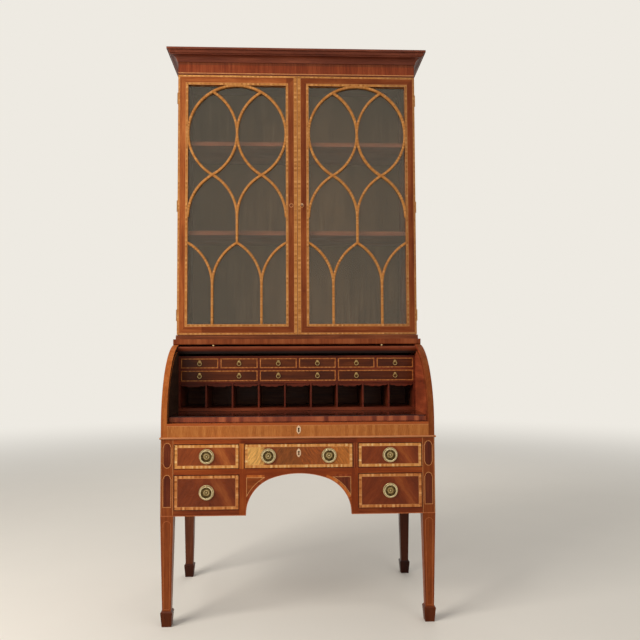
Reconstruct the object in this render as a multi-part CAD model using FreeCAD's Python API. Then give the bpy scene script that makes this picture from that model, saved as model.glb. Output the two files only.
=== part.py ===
import FreeCAD, Part
import math
import os

# Tambour secretary bookcase, in millimetres.
# X runs to the right, Y runs from the desk's front face to its back, Z is up from the floor.
# Everything is drawn with Y zero on the desk's front face and moved back to the middle when saved.

Vector = FreeCAD.Vector

# Overrun of every cutting shape past the face that it cuts
overrun = 5.0

# Desk case and legs
desk_width = 1070.0
desk_depth = 640.0
leg_height = 420.0
post_size = 50.0
leg_ankle_size = 34.0
foot_collar_size = 46.0
foot_collar_height = 6.0
foot_height = 54.0
foot_toe_size = 36.0

# Heights of the desk front, from the bottom rail up
bottom_rail_height = 22.0
lower_drawer_height = 136.5
mid_rail_height = 21.5
upper_drawer_height = 97.0
top_rail_height = 26.0
front_rail_thickness = 20.0

# Widths of the desk front
centre_opening_width = 426.0
front_stile_width = 18.5

# Arch of the kneehole
arch_side_land = 13.5
arch_crown_wood = 20.5
arch_crown_radius = 330.0
arch_shoulder_share = 0.5

# Panels and boards of the desk case
case_side_thickness = 16.0
case_side_recess = 2.0
pedestal_side_thickness = 12.0
case_back_thickness = 9.0
case_back_recess = 4.0
dust_board_thickness = 8.0
guide_height = 20.0
kicker_height = 18.0
kicker_width = 14.0
bead_height = 7.5
bead_projection = 5.5

# Large drawers
drawer_front_thickness = 20.0
drawer_side_thickness = 10.0
drawer_bottom_thickness = 6.0
drawer_bottom_lift = 6.0
drawer_back_gap = 67.0
drawer_gap = 0.7
drawer_side_drop = 8.0
cockbead_width = 2.6
cockbead_proud = 1.2

# Large ring pulls
plate_radius = 29.5
plate_thickness = 2.0
plate_rim_width = 3.6
plate_rim_proud = 1.4
plate_dome_radius = 11.5
plate_dome_height = 5.2
ring_radius = 23.0
ring_wire_radius = 2.6
ring_stand = 8.0
ring_clearance = 0.9
lug_wall = 1.9
lug_neck_radius = 3.4
pull_bolt_radius = 2.4
pull_bolt_clearance = 0.1
pull_nut_radius = 6.0
pull_nut_thickness = 4.0
centre_pull_spacing = 237.0

# Bone escutcheons and their keyholes
escutcheon_width = 15.0
escutcheon_height = 33.0
escutcheon_thickness = 0.5
keyhole_radius = 2.6
keyhole_slot_width = 2.6
keyhole_slot_drop = 8.0
keyhole_depth = 6.0

# Drawer lock and tambour lock
lock_case_width = 60.0
lock_case_height = 32.0
lock_case_thickness = 9.0
centre_escutcheon_rise = 11.0
tambour_lock_margin = 1.75

# Cylinder section
end_thickness = 23.0
lock_rail_height = 53.0
lock_rail_thickness = 34.0
track_back_gap = 2.0
cylinder_flat_drop = 2.0
deck_thickness = 18.0
cylinder_back_thickness = 10.0
cylinder_back_recess = 4.0

# Tambour
slat_cover = 13.0
slat_thickness = 12.4
slat_count = 25
slat_gap = 0.3
tambour_arc_degrees = 92.0
open_angle_degrees = 78.0
landing_gap = 0.5
lead_rail_proud = 1.0
lead_rail_thickness = 22.0
lead_rail_height = 40.0
tongue_length = 6.0
groove_depth = 7.0
groove_clearance = 0.5
groove_end_margin = 6.0
tambour_side_clearance = 0.8
canvas_thickness = 0.9
canvas_margin = 6.0
knob_spread = 726.0
knob_from_edge = 11.5
knob_stem_radius = 2.6
knob_head_radius = 4.6
knob_length = 15.0

# Writing slide
slide_thickness = 24.0
slide_front_gap = 2.0
slide_back_gap = 30.0
slide_lift = 0.5
slide_side_clearance = 1.0
slide_edge_radius = 3.0
bearer_width = 30.0
bearer_end_margin = 6.0
bearer_lock_gap = 5.0

# Pigeonhole case
fitment_lead = 38.0
fitment_slide_gap = 0.5
fitment_floor_thickness = 12.5
fitment_tambour_gap = 9.15
pigeonhole_depth = 230.0
fitment_board = 8.0
lower_row_height = 48.9
row_board_thickness = 7.0
upper_row_height = 45.4
fitment_drawer_depth = 118.0
fitment_drawer_end_gap = 4.0
fitment_divider = 6.5
fitment_back_thickness = 8.0
pigeonhole_count = 9
upper_row_count = 6
lower_row_count = 3
valance_height = 16.0
valance_thickness = 5.0
valance_setback = 4.0
valance_shares = [(0.0, 0.35), (0.09, 0.72), (0.2, 0.62), (0.36, 1.0), (0.5, 0.76)]

# Small drawers and their ring pulls
small_front_thickness = 8.0
small_side_thickness = 5.0
small_bottom_thickness = 3.5
small_gap = 0.5
small_side_drop = 4.0
small_plate_radius = 8.0
small_plate_thickness = 1.2
small_ring_radius = 8.0
small_ring_wire_radius = 1.25
small_ring_stand = 4.2
small_ring_clearance = 0.75
small_lug_wall = 0.9
small_neck_radius = 1.7
small_pull_rise = 6.0

# Waist: moulded top of the cylinder section and plinth of the bookcase
waist_board_thickness = 24.0
waist_knob_gap = 4.7427
waist_nose_radius = 5.0
waist_side_overhang = 0.6
plinth_height = 18.0
plinth_projection = 8.0
plinth_side_overhang = 3.0
plinth_rail_width = 22.0
plinth_cove_radius = 5.0

# Bookcase
bookcase_side_inset = 10.0
bookcase_lead = 17.0
bookcase_side_thickness = 20.0
bookcase_board_thickness = 20.0
shelf_thickness = 18.0
shelf_setback = 8.0
bookcase_back_thickness = 9.0
back_board_count = 6
back_board_gap = 0.4
shelf_height_shares = [0.3748, 0.7058]
frieze_height = 54.0
frieze_setback = 1.0

# Doors
door_height = 1151.5
door_thickness = 24.0
door_foot_gap = 1.5
door_head_gap = 3.0
door_meeting_gap = 1.2
door_back_gap = 1.0
outer_stile_width = 44.0
meeting_stile_width = 50.0
top_rail_width = 44.0
bottom_rail_width = 46.0
glass_rebate = 8.0
glass_clearance = 0.5
glass_thickness = 3.0
tracery_recess = 2.0
tracery_thickness = 9.0
tracery_bar_width = 10.5
tracery_arch_degrees = 60.0
tracery_upper_upright_share = 0.4005
glazing_bead_size = 7.5

# Butt hinges
hinge_height = 50.0
hinge_leaf_thickness = 1.6
hinge_leaf_width = 20.0
hinge_knuckle_radius = 3.6
hinge_pin_radius = 1.5
hinge_pin_clearance = 0.06
hinge_knuckle_gap = 0.25
hinge_knuckle_count = 5
hinge_stand_off = 0.4
hinge_height_shares = [0.075, 0.495, 0.915]

# Door lock and key
door_lock_width = 26.0
door_lock_height = 44.0
door_lock_thickness = 11.0
door_lock_from_edge = 19.5
door_lock_height_share = 0.495
door_lock_plate = 2.0
key_stem_radius = 1.9
key_stem_clearance = 0.08
key_bore_slack = 0.6
key_bit_length = 6.0
key_bit_width = 3.0
key_bow_radius = 8.0
key_bow_wire_radius = 1.5
key_stem_out = 12.0
key_bit_setback = 2.0
key_bit_clearance = 1.1

# Cornice: the members of its face from the frieze up, each with how far it steps out and how high it is
cornice_fillet_width = 4.0
cornice_fillet_height = 3.0
cornice_cove_width = 23.0
cornice_cove_height = 21.0
cornice_step_width = 3.0
cornice_step_height = 4.0
cornice_cyma_width = 13.0
cornice_cyma_height = 13.0
cornice_lip_width = 2.0
cornice_lip_height = 9.0
cornice_band = 20.0
cove_sag_share = 0.3
cyma_sag_share = 0.16

# How near an edge lies to the place looked for when it is picked for rounding
edge_match = 0.5

# Heights and depths that follow from the sizes above
case_bottom = leg_height
lower_drawer_floor = case_bottom + bottom_rail_height
lower_drawer_top = lower_drawer_floor + lower_drawer_height
upper_drawer_floor = lower_drawer_top + mid_rail_height
upper_drawer_top = upper_drawer_floor + upper_drawer_height
case_top = upper_drawer_top + top_rail_height
half_desk = desk_width / 2
post_inner = half_desk - post_size
centre_half = centre_opening_width / 2
stile_outer = centre_half + front_stile_width
pedestal_inner = stile_outer - pedestal_side_thickness
case_side_inner = half_desk - case_side_recess - case_side_thickness
case_back_y = desk_depth - case_back_recess - case_back_thickness
rear_post_y = desk_depth - post_size
drawer_depth = case_back_y - drawer_back_gap

end_inner = half_desk - end_thickness
track_height = case_top + lock_rail_height
cylinder_back_y = desk_depth - cylinder_back_recess - cylinder_back_thickness
track_setback = (cylinder_back_y - track_back_gap) / 2
cylinder_rise = track_setback - cylinder_flat_drop
cylinder_top = track_height + cylinder_rise
slat_outer_radius = track_setback - slat_cover
slat_inner_radius = slat_outer_radius - slat_thickness
lead_rail_outer_radius = slat_outer_radius + lead_rail_proud
lead_rail_inner_radius = lead_rail_outer_radius - lead_rail_thickness
slide_front_y = track_setback - lead_rail_inner_radius + slide_front_gap
slide_back_y = cylinder_back_y - slide_back_gap
slide_floor = track_height + slide_lift
slide_top = slide_floor + slide_thickness

# The pigeonhole case fills the room under the open tambour: its upper back corner sets its height
fitment_front_y = track_setback - fitment_lead
fitment_step_y = fitment_front_y + fitment_drawer_depth + fitment_drawer_end_gap
fitment_deep_y = fitment_front_y + pigeonhole_depth
fitment_corner_radius = slat_inner_radius - canvas_thickness - fitment_tambour_gap
fitment_corner_run = fitment_step_y + fitment_back_thickness - track_setback
fitment_top = track_height + math.sqrt(fitment_corner_radius ** 2 - fitment_corner_run ** 2)
upper_row_top = fitment_top - fitment_board
upper_row_floor = upper_row_top - upper_row_height
lower_row_top = upper_row_floor - row_board_thickness
lower_row_floor = lower_row_top - lower_row_height
pigeonhole_top = lower_row_floor - fitment_board
fitment_floor = slide_top + fitment_slide_gap
pigeonhole_floor = fitment_floor + fitment_floor_thickness
fitment_inner = end_inner - fitment_board

plinth_floor = cylinder_top + waist_board_thickness
bookcase_floor = plinth_floor + plinth_height
bookcase_setback = track_setback - bookcase_lead
half_bookcase = half_desk - bookcase_side_inset
bookcase_inner = half_bookcase - bookcase_side_thickness
door_floor = bookcase_floor + door_foot_gap
door_top = door_floor + door_height
door_back_y = bookcase_setback + door_thickness
carcass_front_y = door_back_y + door_back_gap
bookcase_back_y = desk_depth - bookcase_back_thickness
frieze_floor = door_top + door_head_gap
frieze_top = frieze_floor + frieze_height
frieze_front_y = bookcase_setback + frieze_setback

front_reach = ring_stand + ring_wire_radius + ring_clearance + lug_wall
saved_shift = (desk_depth - front_reach) / 2


def box(x0, x1, y0, y1, z0, z1):
    """Rectangular block between two corners."""
    return Part.makeBox(x1 - x0, y1 - y0, z1 - z0, Vector(x0, y0, z0))


def rod(radius, start, end):
    """Round rod between two points."""
    axis = end - start
    return Part.makeCylinder(radius, axis.Length, start, axis)


def mirrored(shape):
    """The same shape on the other side of the middle."""
    return shape.mirror(Vector(0, 0, 0), Vector(1, 0, 0))


def line(start, end):
    return Part.LineSegment(start, end).toShape()


def arc(start, middle, end):
    return Part.Arc(start, middle, end).toShape()


def swept_face(edges, direction):
    """Solid made by pushing the outline of the given edges along a direction."""
    return Part.Face(Part.Wire(edges)).extrude(direction)


def both_sides(shape):
    return [shape, mirrored(shape)]


def save(name, solids):
    """Write one sub-part, set over the middle of the depth."""
    shape = Part.makeCompound(solids)
    shape.translate(Vector(0, -saved_shift, 0))
    shape.exportStep("parts/" + name + ".step")
    print(name, len(shape.Solids), round(shape.Volume))


# Legs

def square(size, centre_x, centre_y, height):
    half = size / 2
    turns = ((-half, -half), (half, -half), (half, half), (-half, half))
    corners = [Vector(centre_x + across, centre_y + along, height) for across, along in turns]
    return Part.makePolygon(corners + corners[:1])


def leg(centre_x, centre_y):
    """Corner post of the case that runs down into a square tapered leg with a spade foot."""
    collar_top = foot_height + foot_collar_height
    half = post_size / 2
    post = box(centre_x - half, centre_x + half, centre_y - half, centre_y + half, case_bottom, case_top)
    taper = Part.makeLoft([square(leg_ankle_size, centre_x, centre_y, collar_top),
                           square(post_size, centre_x, centre_y, case_bottom)], True, True)
    collar = Part.makeLoft([square(foot_collar_size, centre_x, centre_y, foot_height),
                            square(leg_ankle_size, centre_x, centre_y, collar_top)], True, True)
    foot = Part.makeLoft([square(foot_toe_size, centre_x, centre_y, 0),
                          square(foot_collar_size, centre_x, centre_y, foot_height)], True, True)
    return post.multiFuse([taper, collar, foot]).removeSplitter()


def make_legs():
    across = half_desk - post_size / 2
    for row, centre_y in (("front", post_size / 2), ("rear", desk_depth - post_size / 2)):
        for hand, centre_x in (("left", -across), ("right", across)):
            save(row + "_" + hand + "_leg", [leg(centre_x, centre_y)])


# Desk case

def arch_outline():
    """Three-centred arch: a flat crown arc with a tighter arc at each side down to the case bottom."""
    half_span = pedestal_inner - arch_side_land
    crown_height = upper_drawer_floor - arch_crown_wood
    crown_centre = crown_height - arch_crown_radius
    join_x = half_span * arch_shoulder_share
    join_z = crown_centre + math.sqrt(arch_crown_radius ** 2 - join_x ** 2)
    toward_x = join_x / arch_crown_radius
    toward_z = (join_z - crown_centre) / arch_crown_radius
    across = half_span - join_x
    down = case_bottom - join_z
    side_radius = (across ** 2 + down ** 2) / (-2 * (across * toward_x + down * toward_z))
    side_x = join_x - toward_x * side_radius
    side_z = join_z - toward_z * side_radius
    start_angle = math.atan2(case_bottom - side_z, half_span - side_x)
    middle_angle = (start_angle + math.atan2(toward_z, toward_x)) / 2
    middle = Vector(side_x + side_radius * math.cos(middle_angle), 0,
                    side_z + side_radius * math.sin(middle_angle))
    spring = Vector(half_span, 0, case_bottom)
    join = Vector(join_x, 0, join_z)
    crown = Vector(0, 0, crown_height)

    def flip(point):
        return Vector(-point.x, point.y, point.z)

    low = Vector(half_span, 0, case_bottom - overrun)
    return [arc(spring, middle, join), arc(join, crown, flip(join)),
            arc(flip(join), flip(middle), flip(spring)),
            line(flip(spring), flip(low)), line(flip(low), low), line(low, spring)]


def make_front_frame():
    """Rails across the front and the short stiles beside the centre drawer."""
    top_rail = box(-post_inner, post_inner, 0, front_rail_thickness, upper_drawer_top, case_top)
    mid_rail = box(stile_outer, post_inner, 0, front_rail_thickness, lower_drawer_top, upper_drawer_floor)
    low_rail = box(stile_outer, post_inner, 0, front_rail_thickness, case_bottom, lower_drawer_floor)
    stile = box(centre_half, stile_outer, 0, front_rail_thickness, upper_drawer_floor, upper_drawer_top)
    save("desk_front_frame", [top_rail] + both_sides(mid_rail) + both_sides(low_rail) + both_sides(stile))


def make_apron():
    board = box(-stile_outer, stile_outer, 0, front_rail_thickness, case_bottom, upper_drawer_floor)
    cutter = swept_face(arch_outline(), Vector(0, front_rail_thickness + overrun, 0))
    save("kneehole_apron", [board.cut(cutter)])


def make_case_panels():
    """Outer sides between the posts, inner sides of the two drawer stacks, and the backs."""
    outer = box(case_side_inner, half_desk - case_side_recess, post_size, rear_post_y, case_bottom, case_top)
    inner = box(pedestal_inner, stile_outer, front_rail_thickness, case_back_y, case_bottom, case_top)
    back_end = case_back_y + case_back_thickness
    low_back = box(stile_outer, post_inner, case_back_y, back_end, case_bottom, upper_drawer_floor)
    soffit_floor = upper_drawer_floor - dust_board_thickness
    stack_end = box(pedestal_inner, stile_outer, case_back_y, back_end, case_bottom, soffit_floor)
    high_back = box(-stile_outer, stile_outer, case_back_y, back_end, soffit_floor, case_top)
    side_back = box(stile_outer, post_inner, case_back_y, back_end, upper_drawer_floor, case_top)
    panels = both_sides(outer) + both_sides(inner) + both_sides(low_back) + both_sides(stack_end)
    save("case_panels", panels + [high_back] + both_sides(side_back))


def side_bay_boards(floor):
    """Board that a side drawer slides on, let in behind the front rail."""
    low = floor - dust_board_thickness
    middle = box(stile_outer, post_inner, front_rail_thickness, case_back_y, low, floor)
    wing = box(post_inner, case_side_inner, post_size, rear_post_y, low, floor)
    return both_sides(middle) + both_sides(wing)


def dust_boards():
    soffit = box(-pedestal_inner, pedestal_inner, front_rail_thickness, case_back_y,
                 upper_drawer_floor - dust_board_thickness, upper_drawer_floor)
    return side_bay_boards(lower_drawer_floor) + side_bay_boards(upper_drawer_floor) + [soffit]


def drawer_guides():
    """Strips that keep the drawers straight, and the kickers that keep them level when pulled out."""
    pieces = []
    for floor in (lower_drawer_floor, upper_drawer_floor):
        outer = box(post_inner, case_side_inner, post_size, rear_post_y, floor, floor + guide_height)
        pieces += both_sides(outer)
    centre_guide = box(centre_half, pedestal_inner, front_rail_thickness, case_back_y,
                       upper_drawer_floor, upper_drawer_floor + guide_height)
    pieces += both_sides(centre_guide)
    kicker_floor = case_top - kicker_height
    for inner_x in (stile_outer, post_inner - kicker_width, pedestal_inner - kicker_width):
        kicker = box(inner_x, inner_x + kicker_width, front_rail_thickness, case_back_y,
                     kicker_floor, case_top)
        pieces += both_sides(kicker)
    return pieces


def make_drawer_runners():
    save("drawer_boards_and_guides", dust_boards() + drawer_guides())


def front_block(outline, length, depth):
    """Block whose front face follows an outline of (out, height) steps, centred on X, its foot at Y zero."""
    def place(out, height):
        return Vector(-length / 2, -out, height)

    edges = []
    here = place(outline[0][0], outline[0][1])
    first = here
    for step in outline[1:]:
        there = place(step[-2], step[-1])
        if len(step) == 4:
            edges.append(arc(here, place(step[0], step[1]), there))
        else:
            edges.append(line(here, there))
        here = there
    top_back = Vector(-length / 2, depth, here.z)
    low_back = Vector(-length / 2, depth, first.z)
    edges += [line(here, top_back), line(top_back, low_back), line(low_back, first)]
    return swept_face(edges, Vector(length, 0, 0))


def moulded_block(outline, half_width, front_y, floor):
    """Block with the outline run round its front and both sides, mitred at the corners, flush at the back."""
    reach = max(step[-2] for step in outline)
    span = 2 * (half_width + reach + overrun)
    depth = desk_depth - front_y
    front = front_block(outline, span, depth)
    front.translate(Vector(0, front_y, floor))
    side = front_block(outline, 2 * (desk_depth + reach), 2 * half_width + reach + overrun)
    side.rotate(Vector(0, 0, 0), Vector(0, 0, 1), 90)
    side.translate(Vector(half_width, 0, floor))
    return front.common(side).common(mirrored(side))


def half_round(reach, height):
    return [(0, 0), (reach, height / 2, 0, height)]


def make_bead_moulding():
    block = moulded_block(half_round(bead_projection, bead_height), half_desk, 0, case_top - bead_height)
    core = box(-half_desk, half_desk, 0, desk_depth + overrun, case_bottom, case_top + overrun)
    save("bead_moulding", [block.cut(core)])


# Cylinder section

def track_point(radius, degrees, x=0):
    """Point on a circle about the tambour's centre line: zero degrees is the front, ninety is the top."""
    angle = math.radians(degrees)
    return Vector(x, track_setback - radius * math.cos(angle), track_height + radius * math.sin(angle))


def track_sector(x0, x1, inner, outer, start, end):
    """Curved bar about the tambour's centre line."""
    middle = (start + end) / 2
    edges = [arc(track_point(outer, start, x0), track_point(outer, middle, x0), track_point(outer, end, x0)),
             line(track_point(outer, end, x0), track_point(inner, end, x0)),
             arc(track_point(inner, end, x0), track_point(inner, middle, x0), track_point(inner, start, x0)),
             line(track_point(inner, start, x0), track_point(outer, start, x0))]
    return swept_face(edges, Vector(x1 - x0, 0, 0))


def arc_degrees(length, radius):
    return math.degrees(length / radius)


landing_degrees = arc_degrees(landing_gap, lead_rail_outer_radius)
rail_start = open_angle_degrees + landing_degrees
rail_end = rail_start + arc_degrees(lead_rail_height, lead_rail_outer_radius)
tambour_end = rail_start + tambour_arc_degrees
slat_pitch = (tambour_end - rail_end) / slat_count
slat_gap_degrees = arc_degrees(slat_gap, slat_outer_radius)
knob_degrees = rail_start + arc_degrees(knob_from_edge, lead_rail_outer_radius)
knob_head_reach = lead_rail_outer_radius + knob_length - knob_head_radius


def make_cylinder_ends():
    """Quarter-round ends with the groove that the tambour runs in."""
    top_angle = math.degrees(math.asin(cylinder_rise / track_setback))
    high = track_point(track_setback, top_angle, end_inner)
    front_low = Vector(end_inner, 0, case_top)
    front_high = Vector(end_inner, 0, track_height)
    back_high = Vector(end_inner, desk_depth, cylinder_top)
    back_low = Vector(end_inner, desk_depth, case_top)
    shoulder = track_point(track_setback, top_angle / 2, end_inner)
    edges = [line(front_low, front_high), arc(front_high, shoulder, high),
             line(high, back_high), line(back_high, back_low), line(back_low, front_low)]
    board = swept_face(edges, Vector(end_thickness, 0, 0))
    margin = arc_degrees(groove_end_margin, slat_outer_radius)
    groove = track_sector(end_inner - overrun, end_inner + groove_depth, slat_inner_radius - groove_clearance,
                          slat_outer_radius + groove_clearance, -margin, tambour_end + margin)
    save("cylinder_ends", both_sides(board.cut(groove)))


def make_cylinder_deck():
    """Deck over the drawers, bearers for the writing slide, and the back of the cylinder."""
    deck_top = case_top + deck_thickness
    deck = box(-end_inner, end_inner, lock_rail_thickness, cylinder_back_y, case_top, deck_top)
    bearer_front = lock_rail_thickness + lock_case_thickness
    bearer_back = cylinder_back_y - bearer_end_margin
    bearer = box(end_inner - bearer_width, end_inner, bearer_front, bearer_back, deck_top, slide_floor)
    middle = box(-bearer_width / 2, bearer_width / 2, bearer_front + bearer_lock_gap, bearer_back,
                 deck_top, slide_floor)
    back = box(-end_inner, end_inner, cylinder_back_y, cylinder_back_y + cylinder_back_thickness,
               case_top, cylinder_top)
    save("cylinder_deck_and_back", [deck, back, middle] + both_sides(bearer))


def keyhole(x, z, y0, y1):
    """Cutting shape of a keyhole: a round top over a narrow slot."""
    half = keyhole_slot_width / 2
    slot = box(x - half, x + half, y0, y1, z - keyhole_slot_drop, z)
    return rod(keyhole_radius, Vector(x, y0, z), Vector(x, y1, z)).fuse(slot)


def escutcheon(z):
    """Bone shield with curved sides and pointed ends, standing a hair proud of the wood."""
    half_width = escutcheon_width / 2
    half_height = escutcheon_height / 2
    edges = [arc(Vector(0, 0, z - half_height), Vector(half_width, 0, z), Vector(0, 0, z + half_height)),
             arc(Vector(0, 0, z + half_height), Vector(-half_width, 0, z), Vector(0, 0, z - half_height))]
    plate = swept_face(edges, Vector(0, -escutcheon_thickness, 0))
    return plate.cut(keyhole(0, z, -escutcheon_thickness - overrun, overrun))


def lock_case(low, high, back_y):
    """Brass case of a rim lock on the back of a board."""
    half = lock_case_width / 2
    return box(-half, half, back_y, back_y + lock_case_thickness, low, high)


def make_lock_rail():
    middle = case_top + lock_rail_height / 2
    board = box(-end_inner, end_inner, 0, lock_rail_thickness, case_top, track_height)
    board = board.cut(keyhole(0, middle, -overrun, keyhole_depth))
    case_low = case_top + deck_thickness + tambour_lock_margin
    case_high = slide_floor - tambour_lock_margin
    save("lock_rail", [board, escutcheon(middle), lock_case(case_low, case_high, lock_rail_thickness)])


def make_tambour():
    tongue = end_inner + tongue_length
    body = end_inner - tambour_side_clearance
    rail = track_sector(-body, body, lead_rail_inner_radius, lead_rail_outer_radius, rail_start, rail_end)
    ends = track_sector(-tongue, tongue, slat_inner_radius, slat_outer_radius, rail_start, rail_end)
    save("tambour_lead_rail", [rail.fuse(ends).removeSplitter()])
    slats = []
    for index in range(slat_count):
        start = rail_end + index * slat_pitch
        slats.append(track_sector(-tongue, tongue, slat_inner_radius, slat_outer_radius,
                                  start + slat_gap_degrees, start + slat_pitch))
    save("tambour_slats", slats)
    cloth = end_inner - canvas_margin
    canvas = track_sector(-cloth, cloth, slat_inner_radius - canvas_thickness, slat_inner_radius,
                          rail_end + slat_gap_degrees, tambour_end)
    save("tambour_canvas", [canvas])


def make_knobs():
    """Two small turned knobs on the outer face of the lead rail."""
    x = knob_spread / 2
    seat = track_point(lead_rail_outer_radius, knob_degrees, x)
    tip = track_point(knob_head_reach, knob_degrees, x)
    stem = rod(knob_stem_radius, seat, tip)
    head = Part.makeSphere(knob_head_radius, tip)
    save("tambour_knobs", both_sides(stem.fuse(head)))


def is_front_edge(edge):
    """True for the long top edge at the front of the writing slide."""
    centre = edge.CenterOfMass
    return abs(centre.y - slide_front_y) < edge_match and abs(centre.z - slide_top) < edge_match


def make_writing_slide():
    half = end_inner - slide_side_clearance
    board = box(-half, half, slide_front_y, slide_back_y, slide_floor, slide_top)
    front = [edge for edge in board.Edges if is_front_edge(edge)]
    save("writing_slide", [board.makeFillet(slide_edge_radius, front)])


# Pigeonhole case with its small drawers

def row_places(count):
    """Left and right edges of equal openings between dividers."""
    width = (2 * fitment_inner - (count - 1) * fitment_divider) / count
    return [(-fitment_inner + index * (width + fitment_divider),
             -fitment_inner + index * (width + fitment_divider) + width) for index in range(count)]


def dividers(count, back_y, floor, top):
    places = row_places(count)
    return [box(places[index][1], places[index + 1][0], fitment_front_y, back_y, floor, top)
            for index in range(count - 1)]


def valance(left, right):
    """Scalloped drop at the head of one pigeonhole."""
    front = fitment_front_y + valance_setback
    width = right - left

    def place(share):
        return Vector(left + width * share[0], front, pigeonhole_top - valance_height * share[1])

    half = [place(share) for share in valance_shares]
    other = [place((1 - share[0], share[1])) for share in reversed(valance_shares)]
    high_left = Vector(left, front, pigeonhole_top)
    high_right = Vector(right, front, pigeonhole_top)
    edges = [line(high_left, half[0]), arc(half[0], half[1], half[2]), arc(half[2], half[3], half[4]),
             arc(other[0], other[1], other[2]), arc(other[2], other[3], other[4]),
             line(other[4], high_right), line(high_right, high_left)]
    return swept_face(edges, Vector(0, valance_thickness, 0))


def fitment_side():
    """Side board of the pigeonhole case, stepped at the back to clear the tambour."""
    x = fitment_inner
    deep = fitment_deep_y + fitment_back_thickness
    step = fitment_step_y + fitment_back_thickness
    corners = [Vector(x, fitment_front_y, pigeonhole_floor), Vector(x, deep, pigeonhole_floor),
               Vector(x, deep, lower_row_floor), Vector(x, step, lower_row_floor),
               Vector(x, step, fitment_top), Vector(x, fitment_front_y, fitment_top)]
    return Part.Face(Part.makePolygon(corners + corners[:1])).extrude(Vector(fitment_board, 0, 0))


def make_pigeonhole_case():
    deep = fitment_deep_y + fitment_back_thickness
    step = fitment_step_y + fitment_back_thickness
    inner = fitment_inner
    pieces = both_sides(fitment_side())
    pieces.append(box(-end_inner, end_inner, fitment_front_y, deep, fitment_floor, pigeonhole_floor))
    pieces.append(box(-inner, inner, fitment_front_y, deep, pigeonhole_top, lower_row_floor))
    pieces.append(box(-inner, inner, fitment_front_y, fitment_step_y, lower_row_top, upper_row_floor))
    pieces.append(box(-inner, inner, fitment_front_y, step, upper_row_top, fitment_top))
    pieces.append(box(-inner, inner, fitment_deep_y, deep, pigeonhole_floor, pigeonhole_top))
    pieces.append(box(-inner, inner, fitment_step_y, step, lower_row_floor, upper_row_top))
    pieces += dividers(pigeonhole_count, fitment_deep_y, pigeonhole_floor, pigeonhole_top)
    pieces += dividers(lower_row_count, fitment_step_y, lower_row_floor, lower_row_top)
    pieces += dividers(upper_row_count, fitment_step_y, upper_row_floor, upper_row_top)
    pieces += [valance(left, right) for left, right in row_places(pigeonhole_count)]
    save("pigeonhole_case", pieces)


def ring_and_lug(x, face_y, z, sizes):
    """Hanging ring, and the neck and eye that carry it, for a pull that stands in front of face_y."""
    pivot = Vector(x, face_y - sizes["stand"], z)
    eye_radius = sizes["wire"] + sizes["clearance"]
    eye = Part.makeSphere(eye_radius + sizes["wall"], pivot)
    eye = eye.fuse(rod(sizes["neck"], Vector(x, face_y - sizes["plate"], z), pivot))
    reach = Vector(sizes["radius"], 0, 0)
    eye = eye.cut(rod(eye_radius, pivot - reach, pivot + reach))
    ring_centre = pivot - Vector(0, 0, sizes["radius"])
    ring = Part.makeTorus(sizes["radius"], sizes["wire"], ring_centre, Vector(0, 1, 0))
    return ring, eye


large_pull = {"radius": ring_radius, "wire": ring_wire_radius, "stand": ring_stand,
              "clearance": ring_clearance, "wall": lug_wall, "neck": lug_neck_radius,
              "plate": plate_thickness}
small_pull = {"radius": small_ring_radius, "wire": small_ring_wire_radius, "stand": small_ring_stand,
              "clearance": small_ring_clearance, "wall": small_lug_wall, "neck": small_neck_radius,
              "plate": small_plate_thickness}


def small_ring_pull(x, face_y, z):
    """Small rosette with its eye in one piece, and the ring that hangs from it."""
    plate = rod(small_plate_radius, Vector(x, face_y - small_plate_thickness, z), Vector(x, face_y, z))
    ring, eye = ring_and_lug(x, face_y, z, small_pull)
    return [plate.fuse(eye), ring]


def tray(left, right, front_y, depth, floor, top, wood):
    """Sides, back and bottom of a drawer behind its front."""
    side_top = top - wood["drop"]
    back_start = front_y + wood["front"]
    back_y = front_y + depth
    side = wood["side"]
    bottom = floor + wood["lift"]
    return [box(left, left + side, back_start, back_y, floor, side_top),
            box(right - side, right, back_start, back_y, floor, side_top),
            box(left + side, right - side, back_y - side, back_y, floor, side_top),
            box(left + side, right - side, back_start, back_y - side, bottom, bottom + wood["bottom"])]


small_wood = {"front": small_front_thickness, "side": small_side_thickness, "bottom": small_bottom_thickness,
              "drop": small_side_drop, "lift": 0}
large_wood = {"front": drawer_front_thickness, "side": drawer_side_thickness,
              "bottom": drawer_bottom_thickness, "drop": drawer_side_drop, "lift": drawer_bottom_lift}


def small_drawer(left, right, floor, top, pull_places):
    """Small drawer of the pigeonhole case, with one or two ring pulls."""
    low_x = left + small_gap
    high_x = right - small_gap
    high_z = top - small_gap
    back = fitment_front_y + small_front_thickness
    front = box(low_x, high_x, fitment_front_y, back, floor, high_z)
    pieces = [front] + tray(low_x, high_x, fitment_front_y, fitment_drawer_depth, floor, high_z, small_wood)
    for x in pull_places:
        pieces += small_ring_pull(x, fitment_front_y, (floor + top) / 2 + small_pull_rise)
    return pieces


def make_small_drawers():
    places = row_places(upper_row_count)
    middles = [(left + right) / 2 for left, right in places]
    for index, (left, right) in enumerate(places):
        name = "upper_small_drawer_" + str(index + 1)
        save(name, small_drawer(left, right, upper_row_floor, upper_row_top, [middles[index]]))
    per_drawer = upper_row_count // lower_row_count
    for index, (left, right) in enumerate(row_places(lower_row_count)):
        name = "lower_small_drawer_" + str(index + 1)
        pulls = middles[index * per_drawer:(index + 1) * per_drawer]
        save(name, small_drawer(left, right, lower_row_floor, lower_row_top, pulls))


# Large drawers and their pulls

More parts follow.
